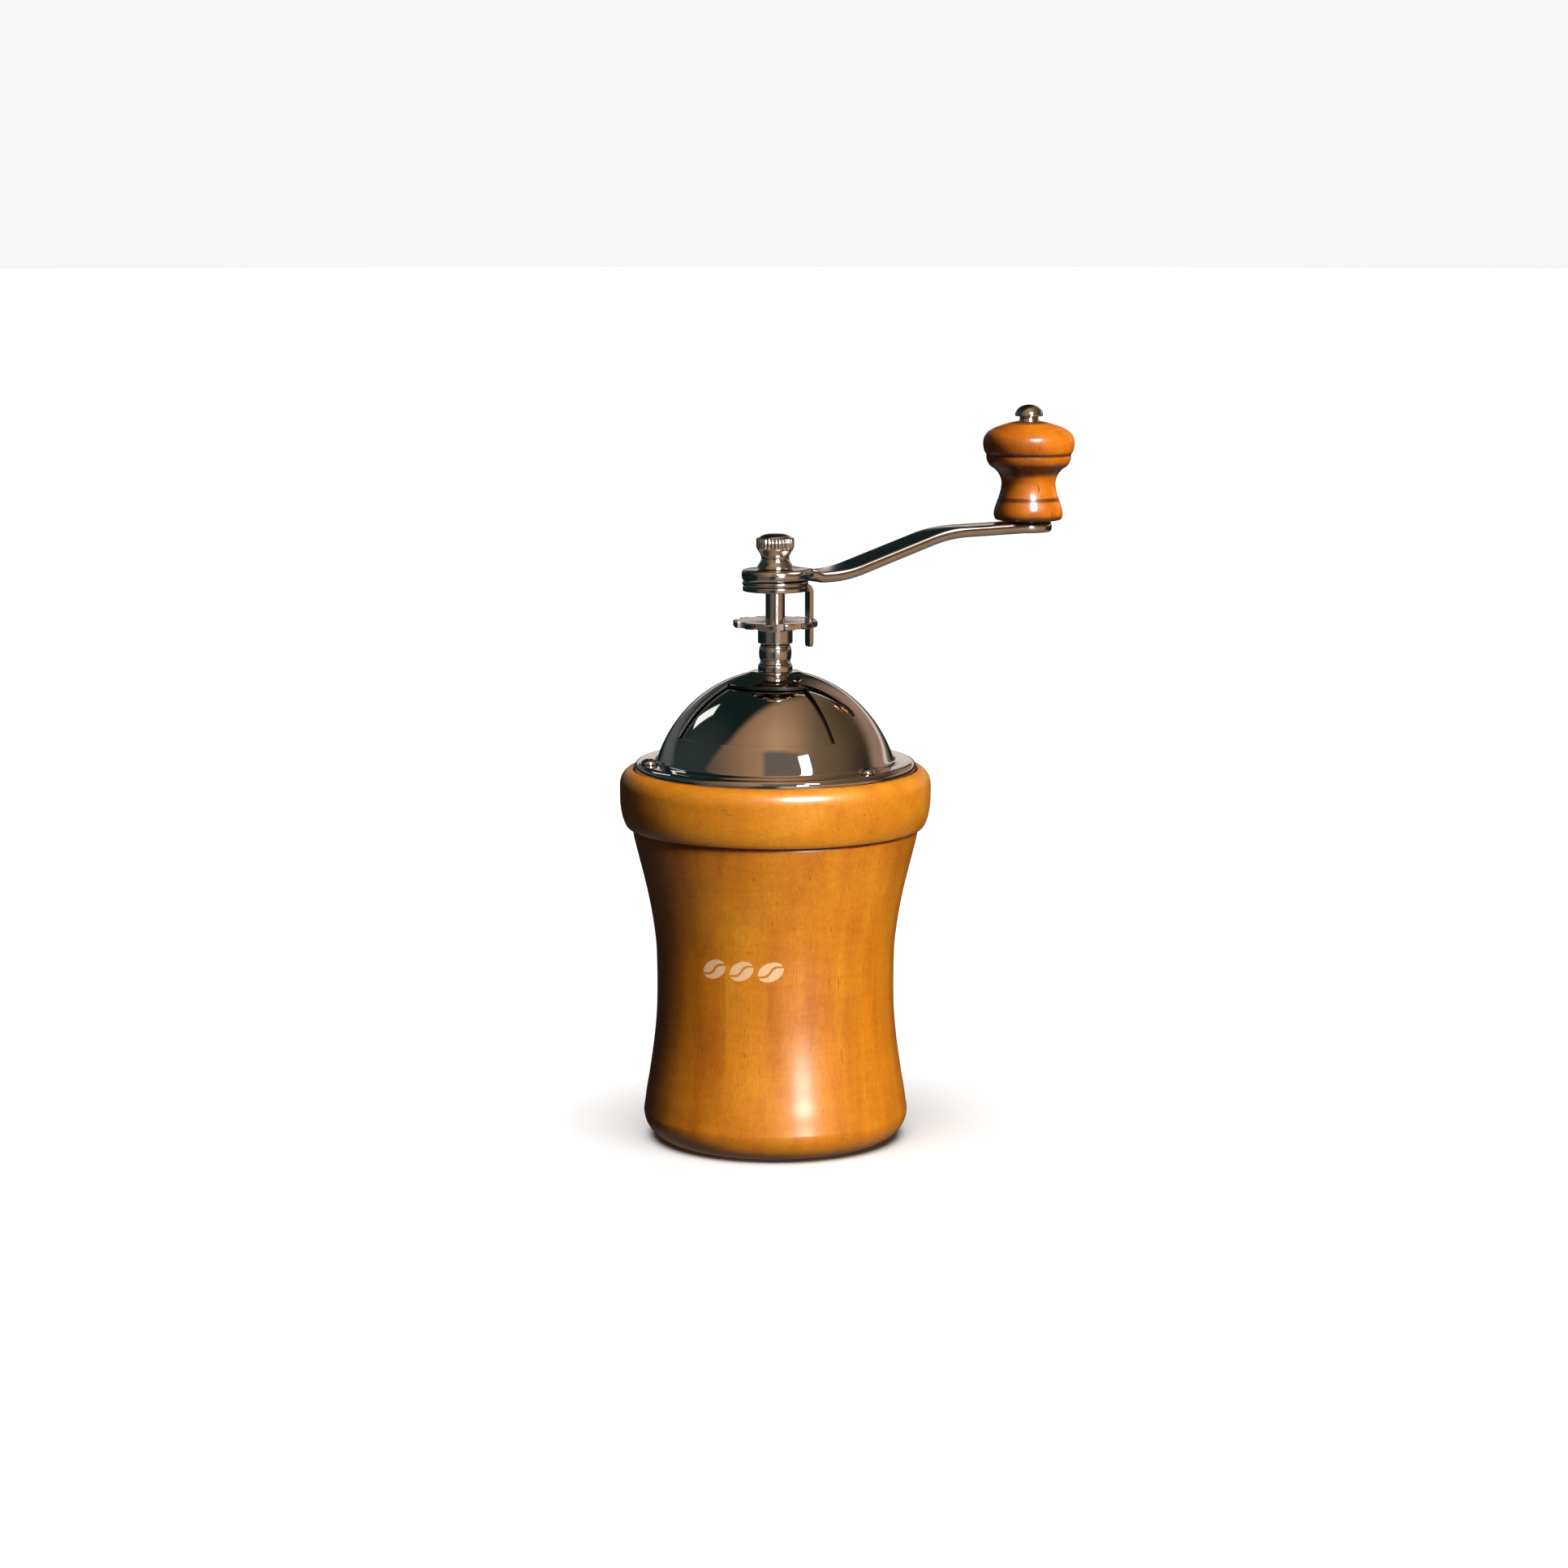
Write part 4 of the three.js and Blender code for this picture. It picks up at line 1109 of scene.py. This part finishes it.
def make_burr_holder(material):
    low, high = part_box("burr_holder")
    top = (high[2] - low[2]) / MM
    shell = turned("burr_holder", rounded([
        (18.1, 0, 0.3), (21, 0, 0.6), (21, top - 2, 0.7), (25.4, top - 2, 0.25), (25.4, top, 0.25),
        (19.6, top, 0.4), (19.6, 1.3, 0.3), (18.1, 1.3, 0.2),
    ]), 120, sharp=30)
    bridge = 83.2 * MM
    for i in range(3):
        spin = Matrix.Rotation(math.radians(90 + 120 * i), 4, "Z")
        middle = Matrix.Translation((10.15 * MM, 0, bridge + 1.8 * MM))
        bar = block((20.3 * MM, 5 * MM, 3.6 * MM), spin @ middle)
        bmesh.ops.bevel(
            bar, geom=bar.edges[:], offset=0.5 * MM, segments=3, profile=0.5, affect="EDGES",
        )
        combine(shell, finish_mesh(bar, "bar"), "UNION")
    hub = turned_bmesh(
        rounded([(0, -0.6, 0), (7.4, -0.6, 0.5), (7.4, 4.2, 0.5), (0, 4.2, 0)], closed=False),
        64, (0, 0), bridge, closed=False,
    )
    combine(shell, finish_mesh(hub, "hub"), "UNION")
    bore = turned_bmesh([(0, -3), (5.1, -3), (5.1, 7), (0, 7)], 64, (0, 0), bridge, closed=False)
    combine(shell, finish_mesh(bore, "bore"), "DIFFERENCE")
    soften(shell)
    place(shell, "burr_holder", "head", "plated_steel", material)


def make_rivet(node, material):
    low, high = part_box(node)
    top = (high[2] - low[2]) / MM
    profile = [
        *arc(0, 0.7, 1.6, 0.7, -90, 0, 6), (1.0, 0.75),
        (1.0, top - 0.75), *arc(0, top - 0.7, 1.6, 0.7, 0, 90, 6),
    ]
    rivet = turned(node, profile, 32, closed=False)
    place(rivet, node, "head", "plated_steel", material)


def make_bush(material):
    bush = turned("lower_bush", rounded([
        (3.0, 0, 0.3), (5.0, 0, 0.2), (5.0, 4.9, 0), (6.8, 4.9, 0.2), (6.8, 5.9, 0.3), (3.0, 5.9, 0.3),
    ]), 64)
    place(bush, "lower_bush", "head", "nylon", material)


def make_washer(node, body, slot, material, inner, outer):
    low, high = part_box(node)
    thickness = (high[2] - low[2]) / MM
    edge = min(0.25, thickness * 0.3)
    corners = [(inner, 0), (outer, 0), (outer, thickness), (inner, thickness)]
    washer = turned(node, rounded([(r, z, edge) for r, z in corners]), 72)
    place(washer, node, body, slot, material)


def make_hex_nut(node, body, material, bore, corner):
    """A hexagonal nut with chamfered corners, two of them on the Y axis."""
    low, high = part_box(node)
    height = (high[2] - low[2]) / MM
    flat = corner * math.cos(math.pi / 6)

    def radius_at(angle, r, z):
        if r < flat:
            return r
        turn = (angle + math.pi / 6) % (math.pi / 3) - math.pi / 6
        return min(r, flat / math.cos(turn))

    profile = [
        (bore, 0.3), (bore + 0.3, 0), (flat - 0.1, 0), (flat + 0.2, 0.15), (corner, 0.6),
        (corner, height - 0.6), (flat + 0.2, height - 0.15), (flat - 0.1, height), (bore + 0.3, height),
        (bore, height - 0.3),
    ]
    nut = turned(node, profile, 96, sharp=22, radius_at=radius_at)
    place(nut, node, body, "plated_steel", material)


def finish_spring(material):
    """The spring stays the CAD one, with rounder wire."""
    spring = frame["nodes"]["burr_spring"]
    for holder in spring.material_slots:
        holder.material = material
    smoothing = spring.modifiers.new("round_wire", "SUBSURF")
    smoothing.levels = 2
    smoothing.render_levels = 2


def tooth_share(i, steps):
    """How far along its slant a tooth is at step i: a long back and then a steep face."""
    share = (i % steps) / steps
    return share / 0.88 if share < 0.88 else (1 - share) / 0.12


def make_burr(node, body, material, levels, teeth, twist, smooth, inward):
    """A burr with one toothed wall that leans with height, and one smooth wall.

    levels are (radius between the teeth, height, tooth depth) from the foot up, smooth is the other
    wall's radius, and twist is how far the teeth turn with each mm of height, in radians.
    """
    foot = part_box(node)[0][2]
    steps = 12
    around = teeth * steps
    outline = []
    for low_level, high_level in zip(levels, levels[1:]):
        for k in range(6):
            outline.append(tuple(a + (b - a) * k / 6 for a, b in zip(low_level, high_level)))
    outline += [levels[-1], (smooth, levels[-1][1], 0.0), (smooth, levels[0][1], 0.0)]
    bm = bmesh.new()
    rows = []
    for radius, z, depth in outline:
        row = []
        for i in range(around):
            angle = 2 * math.pi * i / around + twist * z
            reach = radius + (depth if inward else -depth) * tooth_share(i, steps)
            row.append(bm.verts.new((
                reach * MM * math.cos(angle), reach * MM * math.sin(angle), foot + z * MM,
            )))
        rows.append(row)
    for a, b in zip(rows, rows[1:] + rows[:1]):
        for i in range(around):
            j = (i + 1) % around
            bm.faces.new([a[i], a[j], b[j], b[i]])
    burr = finish_mesh(bm, node + "_piece", 28)
    place(burr, node, body, "burr_iron", material)


# ------------------------------------------------------------------------------------------
# Flange screws

def make_screw(node, material, turn):
    """A round-headed screw with a cross cut in its head."""
    low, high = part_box(node)
    top = (high[2] - low[2]) / MM
    foot = top - 1.7
    profile = [
        (0, 0), (0.8, 0.6), (1.3, 2), (1.3, foot), (2.3, foot), (2.45, foot + 0.1),
        *arc(0, foot + 0.45, 2.45, 1.25, 0, 90, 10),
    ]
    screw = turned(node, profile, 48, closed=False, sharp=34)
    centre = Vector(((low[0] + high[0]) / 2, (low[1] + high[1]) / 2, high[2]))
    slot_size = (2.7 * MM, 0.62 * MM, 1.5 * MM)
    for angle in (turn, turn + math.pi / 2):
        slot = block(slot_size, Matrix.Translation(centre) @ Matrix.Rotation(angle, 4, "Z"))
        combine(screw, finish_mesh(slot, "slot"), "DIFFERENCE")
    soften(screw)
    place(screw, node, "head", "nickel", material)


# ------------------------------------------------------------------------------------------
# Floor and lights

def make_floor():
    bm = bmesh.new()
    bmesh.ops.create_circle(bm, cap_ends=True, segments=96, radius=12.0)
    floor = finish_mesh(bm, "floor")
    material, _, shader = new_material("floor")
    shader.inputs["Base Color"].default_value = (0.86, 0.86, 0.86, 1)
    shader.inputs["Roughness"].default_value = 0.9
    floor.data.materials.append(material)
    floor.visible_diffuse = False
    floor.visible_glossy = False
    floor.visible_shadow = False
    return floor


def add_lights(floor):
    """Softboxes for the reflections and suns for the light, each on the pieces it is meant for."""
    pieces = {obj.name: obj for obj in bpy.data.objects if obj.name.endswith("_piece")}
    jar_and_collar = {"wooden_jar_piece", "wooden_collar_piece"}
    knob = {"wooden_knob_piece"}
    dome = {"dome_piece", "door_piece"}
    metal_parts = set(pieces) - jar_and_collar - knob

    def lit(name, names):
        return collect(name, [pieces[piece] for piece in sorted(names)])

    small_metal = lit("small_metal", metal_parts - dome)
    dome_only = lit("dome_only", dome)
    wood_only = lit("jar_and_collar", jar_and_collar)
    knob_only = lit("knob_only", knob)
    jar_only = lit("jar_only", {"wooden_jar_piece"})
    all_metal = lit("all_metal", metal_parts)
    arm_only = lit("arm_only", {"crank_arm_piece"})
    all_but_knob = lit("all_but_knob", set(pieces) - knob)
    floor_only = collect("floor_only", [floor])

    neutral, pink = (1.0, 0.99, 1.0), (1.0, 0.97, 0.97)
    add_softbox("window", 23, 37, 1.3, 0.46, 0.30, 8, pink, small_metal)
    add_softbox("dome_window", 33, 34, 1.3, 0.22, 0.36, 1.2, pink, dome_only)
    add_softbox("wood_window", 23, 37, 1.3, 0.46, 0.30, 54, neutral, wood_only)
    add_softbox("knob_window", 23, 37, 1.3, 0.40, 0.26, 38, (1.0, 0.98, 1.0), knob_only)
    add_softbox("jar_low", 25, 3, 1.3, 0.36, 0.14, 9, (1.0, 0.98, 1.0), jar_only)
    add_softbox("low_front", 22, 8, 1.5, 0.24, 0.16, 4, (1.0, 0.96, 0.97), all_metal)
    add_softbox("edge", 102, 50, 1.3, 0.75, 0.60, 3.2, (1.0, 0.95, 0.95), arm_only)
    add_softbox("back_window", -134, 34, 1.4, 0.24, 0.36, 0.36, (0.92, 0.96, 1.0), dome_only)
    warm = (1.0, 0.96, 0.91)
    add_sun("key", 33, 34, 5.7, 24, warm, all_but_knob)
    add_sun("knob_key", 46, 34, 8.4, 20, warm, knob_only)
    add_sun("floor_light", 0, 80, 4.7, 60, (1.0, 1.0, 1.0), floor_only)


# ------------------------------------------------------------------------------------------
# Build

bpy.context.scene.view_settings.view_transform = "Standard"
add_camera()
add_world()

# Wood tones: dark, middle and light.
ORANGE = ((0.43, 0.122, 0.003), (0.63, 0.218, 0.006), (0.78, 0.325, 0.016))
AMBER = ((0.56, 0.180, 0.006), (0.72, 0.270, 0.012), (0.80, 0.330, 0.022))
DEEP = ((0.20, 0.042, 0.002), (0.46, 0.125, 0.003), (0.62, 0.195, 0.006))
jar_wood = wood("jar_wood", ORANGE, seed=1.0, mark=0.057)
collar_wood = wood("collar_wood", AMBER, upright=False, seed=2.0)
knob_wood = wood("knob_wood", DEEP, seed=3.0, gloss=0.17, shade_bands=KNOB_SHADE_BANDS)
dome_metal = metal("dome_chrome", (0.80, 0.74, 0.68), 0.035, 0.015)
# Near-black metal on the sheets' cut edges: painted shade along the opening.
sheet_edge = metal("sheet_edge", (0.10, 0.105, 0.105), 0.35, 0.05)
# The nickel's downward faces are painted down to 0.12 of its colour: painted shade.
nickel = metal("nickel", (0.76, 0.73, 0.69), 0.15, 0.04, 6, brushed=0.15, underside_shade=0.12)
plated = metal("plated_steel", (0.62, 0.61, 0.58), 0.30, 0.06, 9)
iron = cast_iron("burr_iron")
nylon = moulded("nylon", (0.03, 0.03, 0.032))

make_jar(jar_wood)
make_collar(collar_wood)
make_dome(dome_metal, sheet_edge)
make_door(dome_metal, sheet_edge)
make_bearing(nickel)

knob_low, knob_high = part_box("wooden_knob")
crank_turn = math.atan2(knob_low[1] + knob_high[1], knob_low[0] + knob_high[0])
make_adjusting_nut(nickel, crank_turn)
make_stopper(nickel, crank_turn)
make_hub_washer(nickel)
make_shaft(nickel)
make_arm(nickel, crank_turn)
make_cap_nut(nickel)
make_knob(knob_wood)
make_spindle(nickel)
for side, turn in (("left", 0.3), ("right", 1.0), ("back", 0.7)):
    make_screw("flange_screw_" + side, nickel, turn)

make_hopper(plated)
make_burr_holder(plated)
for number in (1, 2, 3):
    make_rivet("holder_rivet_%d" % number, plated)
make_bush(nylon)
make_hex_nut("bearing_nut", "head", plated, 4.15, 6.2)
make_washer("spring_washer", "drive", "plated_steel", plated, 3.0, 6.4)
make_washer("burr_washer", "drive", "plated_steel", plated, 2.55, 7.0)
make_washer("knob_washer", "crank", "nylon", nylon, 3.2, 5.5)
make_hex_nut("burr_nut", "drive", plated, 2.55, 5.2)
OUTER_LEVELS = [(17.0, 0, 0.3), (16.4, 1.6, 0.4), (15.6, 5, 1.1), (15.2, 9, 1.8), (15.8, 12.8, 1.8)]
INNER_LEVELS = [(16.2, 0, 0.4), (16.4, 0.8, 0.4), (15.2, 3.4, 0.9), (11.4, 7.8, 1.7), (7.6, 12.2, 0.4)]
make_burr("outer_burr", "head", iron, OUTER_LEVELS, 22, -0.05, 19.4, inward=True)
make_burr("inner_burr", "drive", iron, INNER_LEVELS, 20, 0.05, 3.0, inward=False)
finish_spring(plated)

floor = make_floor()
add_lights(floor)
